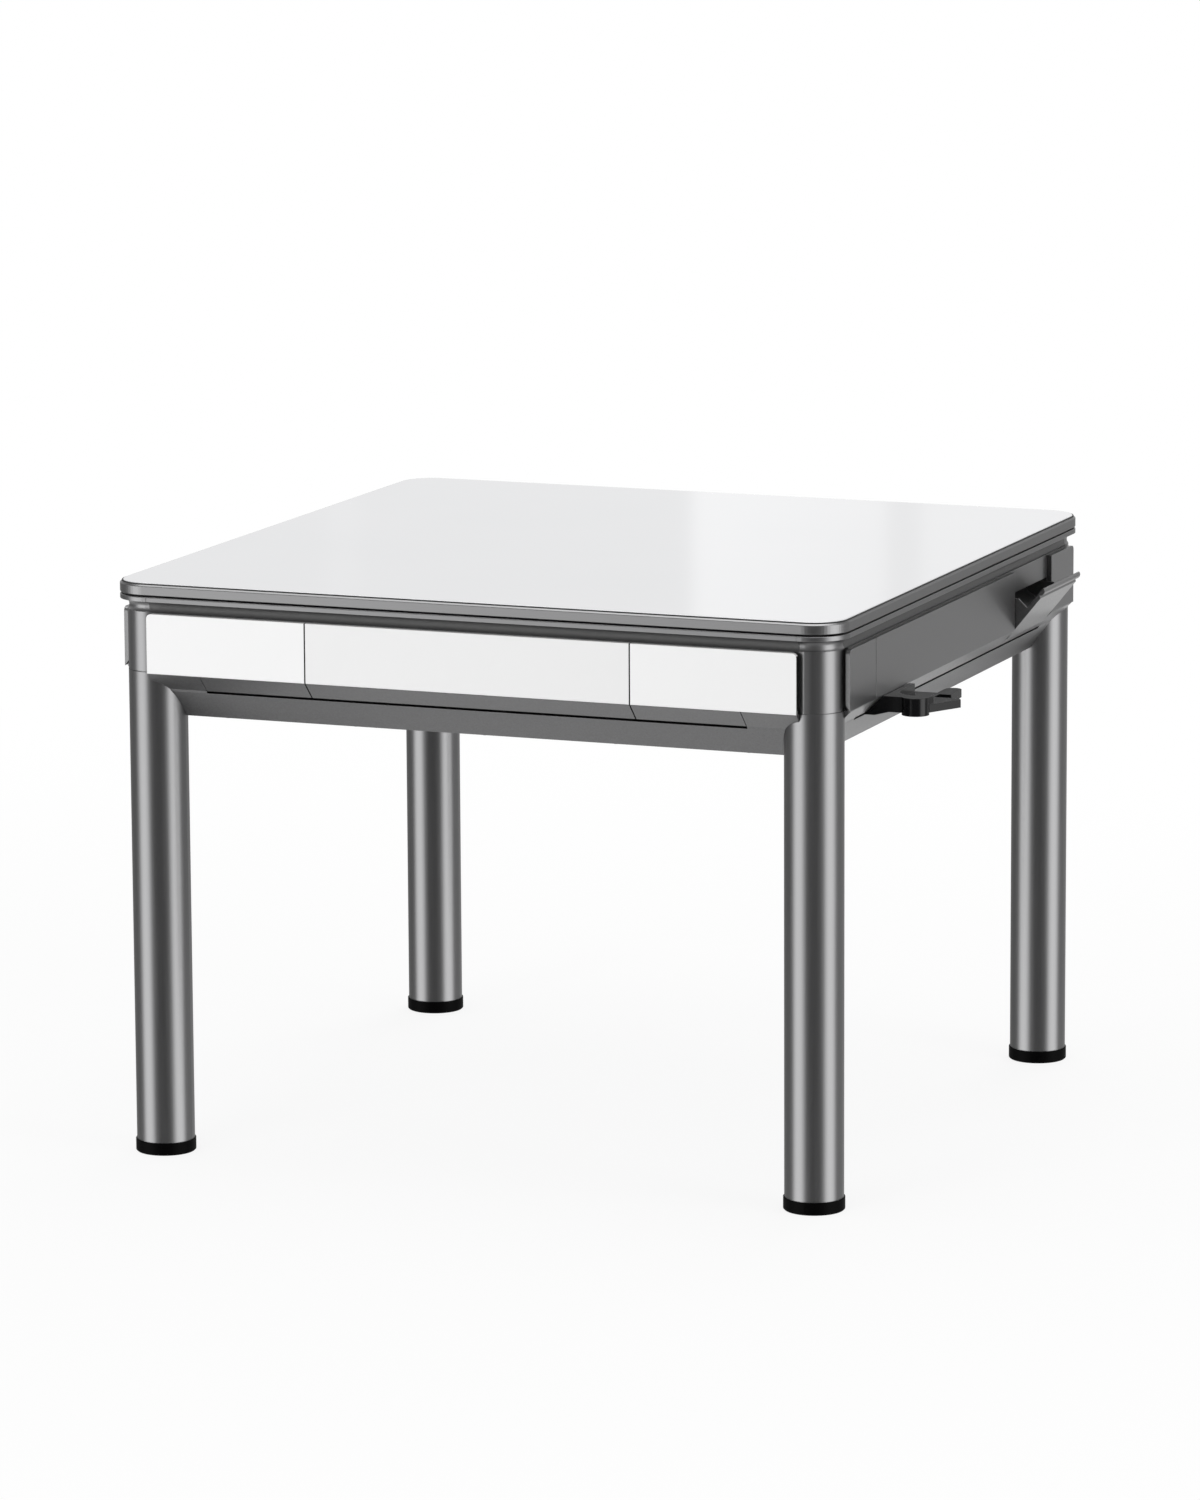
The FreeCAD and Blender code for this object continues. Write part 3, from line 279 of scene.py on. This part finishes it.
def makeLaminate(s):
    # melamine laminate pressed against a polished plate: clean white, a mirror at a low angle,
    # with a faint waviness in what it shows
    material, tree, shader, place = newMaterial(
        "gloss melamine laminate", {"Roughness": s["roughness"], "IOR": 1.5})
    cloud = addNode(tree, "ShaderNodeTexNoise", {"Scale": 1 / s["cloud"], "Detail": 2.0}, {"Vector": place})
    shade(tree, shader, cloud.outputs[0], s["colours"])
    peel = addNode(tree, "ShaderNodeTexNoise", {"Scale": 1 / s["peel"], "Detail": 1.0}, {"Vector": place})
    addNode(tree, "ShaderNodeBump", {"Strength": 0.05, "Distance": s["depth"]}, {"Height": peel.outputs[0]},
            {0: shader.inputs["Normal"]})
    return material


acrylicSettings = {
    "ends": {"colour": "#F3F3F3", "roughness": (0.13, 0.19)},
    "centre": {"colour": "#EDEDED", "roughness": (0.19, 0.25)},
    "cloud": 90 * mm,
    "round": 0.9 * mm,
    "shadedEnd": 0.9,         # a face that looks along the plate by more than this is a sawn end
    # painted shade: the near black of the plates' ends, standing in for the shadow in the joints
    "paint": "#141414",
}


def makeAcrylic(name, s):
    # cast acrylic sheet with polished edges: white, glossy, bright along its rounded edges; its sawn ends are near
    # black as painted shade, so the joints between the plates show as shadow lines
    shared = acrylicSettings
    material, tree, shader, place = newMaterial(name, {"IOR": 1.49})
    facing = addNode(tree, "ShaderNodeNewGeometry").outputs["True Normal"]
    along = addNode(tree, "ShaderNodeSeparateXYZ", links={0: facing}).outputs["X"]
    either = addNode(tree, "ShaderNodeMath", links={0: along}, operation="ABSOLUTE")
    shadedEnd = addNode(tree, "ShaderNodeMath", {1: shared["shadedEnd"]}, {0: either.outputs[0]}, operation="GREATER_THAN")
    # painted shade on the ends of the plates
    shade(tree, shader, shadedEnd.outputs[0], (s["colour"], shared["paint"]))
    cloud = addNode(tree, "ShaderNodeTexNoise", {"Scale": 1 / shared["cloud"], "Detail": 2.0}, {"Vector": place})
    addNode(tree, "ShaderNodeMapRange", {3: s["roughness"][0], 4: s["roughness"][1]}, {0: cloud.outputs[0]},
            {0: shader.inputs["Roughness"]})
    addNode(tree, "ShaderNodeBevel", {"Radius": shared["round"]}, feeds={0: shader.inputs["Normal"]},
            samples=edgeRays)
    return material


gunmetal = {
    # corner pieces and band, drawn round the table
    "level": {"run": (60 * mm, 60 * mm, 1.4 * mm), "roughness": (0.29, 0.39)},
    # rails, drawn the same way, with the heights between which the cove ends and its painted shade fades out
    "rail": {"run": (60 * mm, 60 * mm, 1.4 * mm), "roughness": (0.29, 0.39), "coveTop": (733.6 * mm, 735.0 * mm)},
    # posts and legs, drawn upwards
    "upright": {"run": (1.6 * mm, 1.6 * mm, 160 * mm), "roughness": (0.26, 0.36)},
    "colours": ("#686868", "#707071"),
    # painted shade: the darker grey of the rails' cove, with its higher roughness below
    "paintedCoveShade": "#5F5F5F",
    "coveRough": 0.62,
    "round": 0.7 * mm,
    "depth": 0.02 * mm,
}


def makeGunmetal(name, s):
    # anodised aluminium extrusion: satin gunmetal grey, with painted shade in the cove of the rails, and faint
    # die lines along its length, drawn here at 1.4 to 1.6 mm because the real ones, at about 0.2 mm, wouldn't show
    shared = gunmetal
    material, tree, shader, place = newMaterial(name, {"Metallic": 1.0})
    along = addNode(tree, "ShaderNodeMapping", {"Scale": [1 / size for size in s["run"]]}, {"Vector": place})
    lines = addNode(tree, "ShaderNodeTexNoise", {"Scale": 1.0, "Detail": 3.0, "Roughness": 0.6},
                    {"Vector": along.outputs[0]})
    skin, satin = shade(tree, shader, lines.outputs[0], shared["colours"], s["roughness"])
    # painted shade: below the top of the cove the rails turn a darker grey, and duller
    if "coveTop" in s:
        height = addNode(tree, "ShaderNodeSeparateXYZ", links={0: place}).outputs["Z"]
        reach = addNode(tree, "ShaderNodeMapRange", {1: s["coveTop"][0], 2: s["coveTop"][1]}, {0: height})
        addNode(tree, "ShaderNodeMix", {6: srgb(shared["paintedCoveShade"])}, {0: reach.outputs[0], 7: skin.outputs[2]},
                {2: shader.inputs["Base Color"]}, data_type="RGBA")
        addNode(tree, "ShaderNodeMix", {2: shared["coveRough"]}, {0: reach.outputs[0], 3: satin.outputs[0]},
                {0: shader.inputs["Roughness"]})
    edge = addNode(tree, "ShaderNodeBevel", {"Radius": shared["round"]}, samples=edgeRays)
    addNode(tree, "ShaderNodeBump", {"Strength": 0.12, "Distance": shared["depth"]},
            {"Height": lines.outputs[0], "Normal": edge.outputs[0]}, {0: shader.inputs["Normal"]})
    return material


lacquerSettings = {
    "colours": ("#646464", "#6D6D6E"),
    "roughness": (0.32, 0.40),
    "flake": 1.3 * mm,
    "round": 0.8 * mm,
}


def makeLacquer(s):
    # moulded ABS with a metallic lacquer: the same grey as the metal, a little softer,
    # with flakes that are drawn at 1.3 mm because real ones, at 0.05 mm, wouldn't show
    material, tree, shader, place = newMaterial(
        "metallic lacquer on ABS", {"Metallic": 0.9, "Coat Weight": 0.25, "Coat Roughness": 0.12})
    flake = addNode(tree, "ShaderNodeTexVoronoi", {"Scale": 1 / s["flake"]}, {"Vector": place})
    glint = addNode(tree, "ShaderNodeSeparateColor", links={0: flake.outputs["Color"]})
    shade(tree, shader, glint.outputs[0], s["colours"], s["roughness"])
    addNode(tree, "ShaderNodeBevel", {"Radius": s["round"]}, feeds={0: shader.inputs["Normal"]}, samples=edgeRays)
    return material


mouldings = {
    "gloss black ABS": {"colours": ("#0A0A0B", "#0E0E0F"), "roughness": (0.11, 0.21), "shine": 0.2,
                        "grain": 14 * mm, "depth": 0.02 * mm},
    "green ABS": {"colours": ("#14583A", "#195F40"), "roughness": (0.37, 0.47), "shine": 0.5,
                  "grain": 1.2 * mm, "depth": 0.03 * mm},
    "black acetal": {"colours": ("#1C1C1E", "#242427"), "roughness": (0.40, 0.50), "shine": 0.5,
                     "grain": 1.5 * mm, "depth": 0.03 * mm},
    "charcoal gloss ABS": {"colours": ("#232326", "#29292C"), "roughness": (0.15, 0.25), "shine": 0.5,
                           "grain": 12 * mm, "depth": 0.02 * mm},
    "red gloss ABS": {"colours": ("#A61519", "#AE2023"), "roughness": (0.19, 0.29), "shine": 0.5,
                      "grain": 5 * mm, "depth": 0.02 * mm},
    "blue gloss ABS": {"colours": ("#173C8C", "#1E4596"), "roughness": (0.19, 0.29), "shine": 0.5,
                       "grain": 5 * mm, "depth": 0.02 * mm},
    "white urea resin": {"colours": ("#F1EFE8", "#EAE7DD"), "roughness": (0.17, 0.27), "shine": 0.5,
                         "grain": 4 * mm, "depth": 0.01 * mm},
    "red paint": {"colours": ("#B01B1E", "#A21618"), "roughness": (0.35, 0.45), "shine": 0.5,
                  "grain": 1 * mm, "depth": 0.01 * mm},
}
mouldedEdge = 0.8 * mm


def makeMoulding(name, s):
    # injection moulded plastic: the grain of the tool's surface, polished or spark eroded, breaks its shine
    material, tree, shader, place = newMaterial(name, {"IOR": 1.53, "Specular IOR Level": s["shine"]})
    grain = addNode(tree, "ShaderNodeTexNoise", {"Scale": 1 / s["grain"], "Detail": 3.0}, {"Vector": place})
    shade(tree, shader, grain.outputs[0], s["colours"], s["roughness"])
    edge = addNode(tree, "ShaderNodeBevel", {"Radius": mouldedEdge}, samples=edgeRays)
    addNode(tree, "ShaderNodeBump", {"Strength": 0.2, "Distance": s["depth"]},
            {"Height": grain.outputs[0], "Normal": edge.outputs[0]}, {0: shader.inputs["Normal"]})
    return material


rubbers = {
    "black nylon": {"colours": ("#030303", "#070707"), "roughness": (0.38, 0.54), "shine": 0.02,
                    "grain": 2.5 * mm, "depth": 0.05 * mm},
    "soft pad rubber": {"colours": ("#151515", "#202020"), "roughness": (0.64, 0.80), "shine": 0.4,
                        "grain": 1.2 * mm, "depth": 0.05 * mm},
    "friction rubber": {"colours": ("#121212", "#262523"), "roughness": (0.72, 0.88), "shine": 0.4,
                        "grain": 0.9 * mm, "depth": 0.05 * mm},
}


def makeRubber(name, s):
    # dull black with a trace of dust held in a fine moulded grain
    material, tree, shader, place = newMaterial(name, {"IOR": 1.52, "Specular IOR Level": s["shine"]})
    grain = addNode(tree, "ShaderNodeTexNoise", {"Scale": 1 / s["grain"], "Detail": 5.0, "Roughness": 0.65},
                    {"Vector": place})
    shade(tree, shader, grain.outputs[0], s["colours"], s["roughness"])
    addNode(tree, "ShaderNodeBump", {"Strength": 0.3, "Distance": s["depth"]}, {"Height": grain.outputs[0]},
            {0: shader.inputs["Normal"]})
    return material


plainMetals = {
    "turned steel": {"colours": ("#B9BABC", "#A3A4A7"), "roughness": (0.19, 0.33),
                     "run": (40 * mm, 40 * mm, 1.0 * mm)},
    "zinc plated sheet": {"colours": ("#A9ACAE", "#8F9396"), "roughness": (0.35, 0.49),
                          "run": (9 * mm, 9 * mm, 9 * mm)},
    "folded aluminium": {"colours": ("#B4B6B8", "#A2A4A7"), "roughness": (0.31, 0.45),
                         "run": (120 * mm, 1.2 * mm, 1.2 * mm)},
}


def makePlainMetal(name, s):
    # bare metal as it left the machine: turning marks, zinc spangle or rolling lines
    material, tree, shader, place = newMaterial(name, {"Metallic": 1.0})
    along = addNode(tree, "ShaderNodeMapping", {"Scale": [1 / size for size in s["run"]]}, {"Vector": place})
    marks = addNode(tree, "ShaderNodeTexVoronoi", {"Scale": 1.0}, {"Vector": along.outputs[0]})
    tone = addNode(tree, "ShaderNodeSeparateColor", links={0: marks.outputs["Color"]})
    shade(tree, shader, tone.outputs[0], s["colours"], s["roughness"])
    return material


boardSettings = {"colours": ("#8A6A48", "#75583A"), "run": (4 * mm, 0.9 * mm, 0.9 * mm), "depth": 0.08 * mm}


def makeFibreboard(s):
    # raw medium density fibreboard: brown, matt, felted from short fibres
    material, tree, shader, place = newMaterial("raw fibreboard", {"Roughness": 0.82})
    lie = addNode(tree, "ShaderNodeMapping", {"Scale": [1 / size for size in s["run"]]}, {"Vector": place})
    fibre = addNode(tree, "ShaderNodeTexNoise", {"Scale": 1.0, "Detail": 6.0, "Roughness": 0.7},
                    {"Vector": lie.outputs[0]})
    shade(tree, shader, fibre.outputs[0], s["colours"])
    addNode(tree, "ShaderNodeBump", {"Strength": 0.4, "Distance": s["depth"]}, {"Height": fibre.outputs[0]},
            {0: shader.inputs["Normal"]})
    return material


clothSettings = {
    "colours": ("#14502F", "#1D6A45"),
    "sheen": "#8FC7A6",
    "nap": 2.2 * mm,
    "depth": 0.25 * mm,
    "patch": 130 * mm,
    "lean": (0.1, 0.42),  # tones of the nap that count as upright and as lying down
}


def makeCloth(s):
    # napped polyester play cloth: deep green, soft, lighter where the nap leans; nap drawn at 2.2 mm to show
    material, tree, shader, place = newMaterial(
        "napped play cloth", {"Roughness": 0.95, "Sheen Weight": 0.35, "Sheen Roughness": 0.45,
                              "Sheen Tint": srgb(s["sheen"]), "Specular IOR Level": 0.2})
    nap = addNode(tree, "ShaderNodeTexNoise", {"Scale": 1 / s["nap"], "Detail": 8.0, "Roughness": 0.75},
                  {"Vector": place})
    patch = addNode(tree, "ShaderNodeTexNoise", {"Scale": 1 / s["patch"], "Detail": 3.0}, {"Vector": place})
    blend = addNode(tree, "ShaderNodeMath", links={0: nap.outputs[0], 1: patch.outputs[0]}, operation="MULTIPLY")
    lean = addNode(tree, "ShaderNodeMapRange", {1: s["lean"][0], 2: s["lean"][1]}, {0: blend.outputs[0]})
    shade(tree, shader, lean.outputs[0], s["colours"])
    addNode(tree, "ShaderNodeBump", {"Strength": 0.6, "Distance": s["depth"]}, {"Height": nap.outputs[0]},
            {0: shader.inputs["Normal"]})
    return material


flockSettings = {"colours": ("#CFCCC2", "#E4E2DA"), "pile": 0.8 * mm, "depth": 0.2 * mm}


def makeFlock(s):
    # flocked plate: short upright pile that looks like white velvet
    material, tree, shader, place = newMaterial(
        "white flock", {"Roughness": 0.95, "Sheen Weight": 0.4, "Specular IOR Level": 0.15})
    pile = addNode(tree, "ShaderNodeTexNoise", {"Scale": 1 / s["pile"], "Detail": 5.0, "Roughness": 0.8},
                   {"Vector": place})
    shade(tree, shader, pile.outputs[0], s["colours"])
    addNode(tree, "ShaderNodeBump", {"Strength": 0.5, "Distance": s["depth"]}, {"Height": pile.outputs[0]},
            {0: shader.inputs["Normal"]})
    return material


windowSettings = {"colour": "#EEF3F4", "wave": 16 * mm, "depth": 0.05 * mm}


def makeClear(s):
    # moulded polycarbonate: clear, with a faint flow waviness
    material, tree, shader, place = newMaterial(
        "clear polycarbonate", {"Base Color": srgb(s["colour"]), "Roughness": 0.04, "IOR": 1.58,
                                "Transmission Weight": 1.0})
    wave = addNode(tree, "ShaderNodeTexNoise", {"Scale": 1 / s["wave"], "Detail": 1.0}, {"Vector": place})
    addNode(tree, "ShaderNodeBump", {"Strength": 0.05, "Distance": s["depth"]}, {"Height": wave.outputs[0]},
            {0: shader.inputs["Normal"]})
    return material


circuitSettings = {
    "mask": "#11532C",
    "track": "#1B7A42",
    "pitch": 5 * mm,
    "width": 0.06,       # of a track, as a share of the pitch
    "depth": 0.05 * mm,
}


def makeCircuit(s):
    # glass epoxy board under green solder mask, paler over its copper tracks
    material, tree, shader, place = newMaterial("solder masked board", {"Roughness": 0.35})
    mask = srgb(s["mask"])
    tracks = addNode(tree, "ShaderNodeTexBrick",
                     {"Color1": mask, "Color2": mask, "Mortar": srgb(s["track"]), "Scale": 1 / s["pitch"],
                      "Mortar Size": s["width"]}, {"Vector": place}, {0: shader.inputs["Base Color"]})
    addNode(tree, "ShaderNodeBump", {"Strength": 0.3, "Distance": s["depth"]}, {"Height": tracks.outputs["Fac"]},
            {0: shader.inputs["Normal"]})
    return material


def dressNodes(finishes):
    # every solid takes the finish of its slot, or of its own name where the two differ
    for part in frame["record"]["subparts"]:
        piece = nodes[part["node"]]
        finish = finishes.get(part["node"]) or finishes[part["material_slot"]]
        piece.data.materials.clear()
        piece.data.materials.append(finish)


def newPiece(name, bm, finishes, body):
    mesh = bpy.data.meshes.new(name)
    bm.to_mesh(mesh)
    bm.free()
    piece = bpy.data.objects.new(name, mesh)
    bpy.context.collection.objects.link(piece)
    for finish in finishes:
        mesh.materials.append(finish)
    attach(piece, body)
    return piece


# play cloth, laid on the deck and cut round the posts, the tile lifts and the console

feltSettings = {
    "round": 0.7 * mm,
    "steps": 3,
    "flatWithin": 1,   # degrees between faces that are one flat face
    "brinkOver": 60,   # degrees at the edges that are rounded
    "flat": (0.8914, 0.8914),
    "area": 0.7201,
}


def makeFelt(s, finish):
    bm = bmesh.new()
    bm.from_mesh(nodes["play_felt"].data)
    bmesh.ops.remove_doubles(bm, verts=bm.verts, dist=near)
    bmesh.ops.dissolve_limit(bm, angle_limit=math.radians(s["flatWithin"]), verts=bm.verts, edges=bm.edges)
    top = max(v.co.z for v in bm.verts)
    brink = [e for e in bm.edges if all(abs(v.co.z - top) < near for v in e.verts)
             and e.calc_face_angle(0.0) > math.radians(s["brinkOver"])]
    bmesh.ops.bevel(bm, geom=brink, offset=s["round"], affect="EDGES", segments=s["steps"], profile=0.5, material=-1)
    bmesh.ops.triangulate(bm, faces=bm.faces)
    bmesh.ops.recalc_face_normals(bm, faces=bm.faces)
    felt = newPiece("play_cloth", bm, [finish], "frame")
    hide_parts("play_felt")


# edge band of the cover, chamfered along its top, and a black strip between it and the board, a painted shadow for
# the gap

bandSettings = {
    "corner": 47.5 * mm,
    "steps": 18,
    # inset from the outside and height above the foot of the band, in mm
    "band": ((0.0, 0.7), (0.0, 11.3), (0.3, 11.9), (2.0, 13.6), (2.5, 13.8), (2.6, 12.8), (3.7, 12.8),
             (3.7, 0.0), (0.7, 0.0)),
    # section of the dark strip, a painted shadow for the gap between band and board
    "shadowStrip": ((2.6, 12.9), (2.6, 14.8), (3.0, 15.2), (4.0, 15.2), (4.0, 12.9)),
}


def sweepRing(s, section):
    # carries the section along each side and turns it round each corner
    low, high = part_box("cover_band")
    straight = high.x - s["corner"]
    bm = bmesh.new()
    start = [bm.verts.new((high.x - inset * mm, -straight, low.z + height * mm)) for inset, height in section]
    run = [bm.edges.new(pair) for pair in zip(start, start[1:] + start[:1])]
    for side in range(4):
        turn = Matrix.Rotation(side * quarterTurn, 4, "Z")
        made = bmesh.ops.extrude_edge_only(bm, edges=run)["geom"]
        ends = [part for part in made if isinstance(part, bmesh.types.BMVert)]
        bmesh.ops.translate(bm, verts=ends, vec=turn @ Vector((0, 2 * straight, 0)))
        run = [part for part in made if isinstance(part, bmesh.types.BMEdge) and set(part.verts) <= set(ends)]
        made = bmesh.ops.spin(bm, geom=run + ends, cent=turn @ Vector((straight, straight, 0)), axis=(0, 0, 1),
                              angle=quarterTurn, steps=s["steps"])["geom_last"]
        run = [part for part in made if isinstance(part, bmesh.types.BMEdge)]
    bmesh.ops.remove_doubles(bm, verts=bm.verts, dist=near)
    bmesh.ops.recalc_face_normals(bm, faces=bm.faces)
    return bm


def makeBand(s, bandFinish, shadowStripFinish):
    band = newPiece("edge_band", sweepRing(s, s["band"]), [bandFinish], "cover")
    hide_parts("cover_band")
    # painted shadow: a black strip put in the gap between band and board, where there is only shade
    newPiece("edge_shadow_strip", sweepRing(s, s["shadowStrip"]), [shadowStripFinish], "cover")


# two dice on the turning plate under the window

diceSettings = {
    "size": 11 * mm,
    "round": 1.5 * mm,
    "steps": 4,
    "pip": 1.05 * mm,
    "flatten": 0.12,    # how far a pip stands out, as a share of its radius
    "facets": 2,
    "pitch": 2.9 * mm,
    "places": ((-13 * mm, 6 * mm, 24), (12 * mm, -8 * mm, -37)),  # the turn in degrees
    # axis and quarter turns that take the top to each face, and where its pips are
    "faces": (
        ("X", 0, ((0, 0),)),
        ("X", 2, ((-1, -1), (-1, 0), (-1, 1), (1, -1), (1, 0), (1, 1))),
        ("X", 1, ((-1, -1), (1, 1))),
        ("X", -1, ((-1, -1), (-1, 1), (1, -1), (1, 1), (0, 0))),
        ("Y", 1, ((-1, -1), (0, 0), (1, 1))),
        ("Y", -1, ((-1, -1), (-1, 1), (1, -1), (1, 1))),
    ),
}


def makeDice(s, bodyFinish, pipFinish):
    half = s["size"] / 2
    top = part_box("dice_plate")[1].z
    flatten = Matrix.Diagonal((1, 1, s["flatten"], 1))
    for index, (x, y, turn) in enumerate(s["places"]):
        bm = bmesh.new()
        bmesh.ops.create_cube(bm, size=s["size"])
        bmesh.ops.bevel(bm, geom=bm.edges[:], offset=s["round"], affect="EDGES", segments=s["steps"], profile=0.5,
                        material=-1)
        for axis, turns, pips in s["faces"]:
            for u, v in pips:
                spot = (Matrix.Rotation(turns * quarterTurn, 4, axis)
                        @ Matrix.Translation((u * s["pitch"], v * s["pitch"], half)))
                made = bmesh.ops.create_icosphere(bm, subdivisions=s["facets"], radius=s["pip"],
                                                  matrix=spot @ flatten)
                for face in {f for vert in made["verts"] for f in vert.link_faces}:
                    face.material_index = 1
        place = Matrix.Translation((x, y, top + half)) @ Matrix.Rotation(math.radians(turn), 4, "Z")
        bmesh.ops.transform(bm, matrix=place, verts=bm.verts)
        newPiece(f"die_{index + 1}", bm, [bodyFinish, pipFinish], "dice_plate")


# pan head screws that hold the base pan to the apron flanges

screwSettings = {
    "radius": 4.2 * mm,
    "crown": 3.024 * mm,  # radius at the end of the head
    "height": 2.2 * mm,
    "land": 1.26 * mm,    # round the recess
    "taper": 0.504 * mm,
    "recess": 1.1 * mm,
    "segments": 24,
    "inset": 6 * mm,      # from the edge of the pan
    "row": (-360 * mm, -180 * mm, 0, 180 * mm, 360 * mm),
}


def makeScrews(s, finish):
    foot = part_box("apron_right")[0].z
    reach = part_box("base_pan")[1].x - s["inset"]
    bm = bmesh.new()
    for side in range(4):
        for along in s["row"]:
            spot = (Matrix.Rotation(side * quarterTurn, 4, "Z")
                    @ Matrix.Translation((reach, along, foot - s["height"] / 2)))
            made = bmesh.ops.create_cone(bm, cap_ends=True, segments=s["segments"], radius1=s["crown"],
                                         radius2=s["radius"], depth=s["height"], matrix=spot)
            low = min(v.co.z for v in made["verts"])
            crown = next(f for v in made["verts"] for f in v.link_faces
                         if len(f.verts) > 4 and abs(f.calc_center_median().z - low) < near)
            bmesh.ops.inset_region(bm, faces=[crown], thickness=s["land"])
            bmesh.ops.inset_region(bm, faces=[crown], thickness=s["taper"], depth=-s["recess"])
    bmesh.ops.recalc_face_normals(bm, faces=bm.faces)
    newPiece("pan_screws", bm, [finish], "frame")


bpy.context.scene.view_settings.view_transform = "Standard"
makeCamera(cameraSettings)
makeStudio(studio)
makeLamps(lamps)
makeFloor(floorSettings)
print("studio ready")

bandMetal = makeGunmetal("anodised aluminium band", gunmetal["level"])
railMetal = makeGunmetal("anodised aluminium extrusion", gunmetal["rail"])
tubeMetal = makeGunmetal("anodised aluminium tube", gunmetal["upright"])
moulded = {name: makeMoulding(name, s) for name, s in mouldings.items()}
rubber = {name: makeRubber(name, s) for name, s in rubbers.items()}
metal = {name: makePlainMetal(name, s) for name, s in plainMetals.items()}
cloth = makeCloth(clothSettings)
dressNodes({
    "white_laminate": makeLaminate(laminateSettings),
    "white_gloss": makeAcrylic("polished acrylic", acrylicSettings["ends"]),
    "panel_front_centre": makeAcrylic("polished acrylic centre", acrylicSettings["centre"]),
    "gunmetal_aluminium": railMetal,
    "cover_band": bandMetal,
    "rim_corners": bandMetal,
    "corner_posts": tubeMetal,
    "gunmetal_steel": tubeMetal,
    "gunmetal_plastic": makeLacquer(lacquerSettings),
    "foot_rubber": rubber["black nylon"],
    "pad_rubber": rubber["soft pad rubber"],
    "drive_rubber": rubber["friction rubber"],
    "gloss_black": moulded["gloss black ABS"],
    "bright_steel": metal["turned steel"],
    "pan_steel": metal["zinc plated sheet"],
    "unit_metal": metal["folded aluminium"],
    "deck_board": makeFibreboard(boardSettings),
    "green_felt": cloth,
    "lift_plastic": moulded["green ABS"],
    "dark_plastic": moulded["black acetal"],
    "console_plastic": moulded["charcoal gloss ABS"],
    "clear_window": makeClear(windowSettings),
    "white_plate": makeFlock(flockSettings),
    "red_button": moulded["red gloss ABS"],
    "blue_button": moulded["blue gloss ABS"],
    "circuit_board": makeCircuit(circuitSettings),
})
print("finishes ready", len(bpy.data.materials))

makeFelt(feltSettings, cloth)
makeBand(bandSettings, bandMetal, rubber["soft pad rubber"])
makeDice(diceSettings, moulded["white urea resin"], moulded["red paint"])
makeScrews(screwSettings, metal["turned steel"])
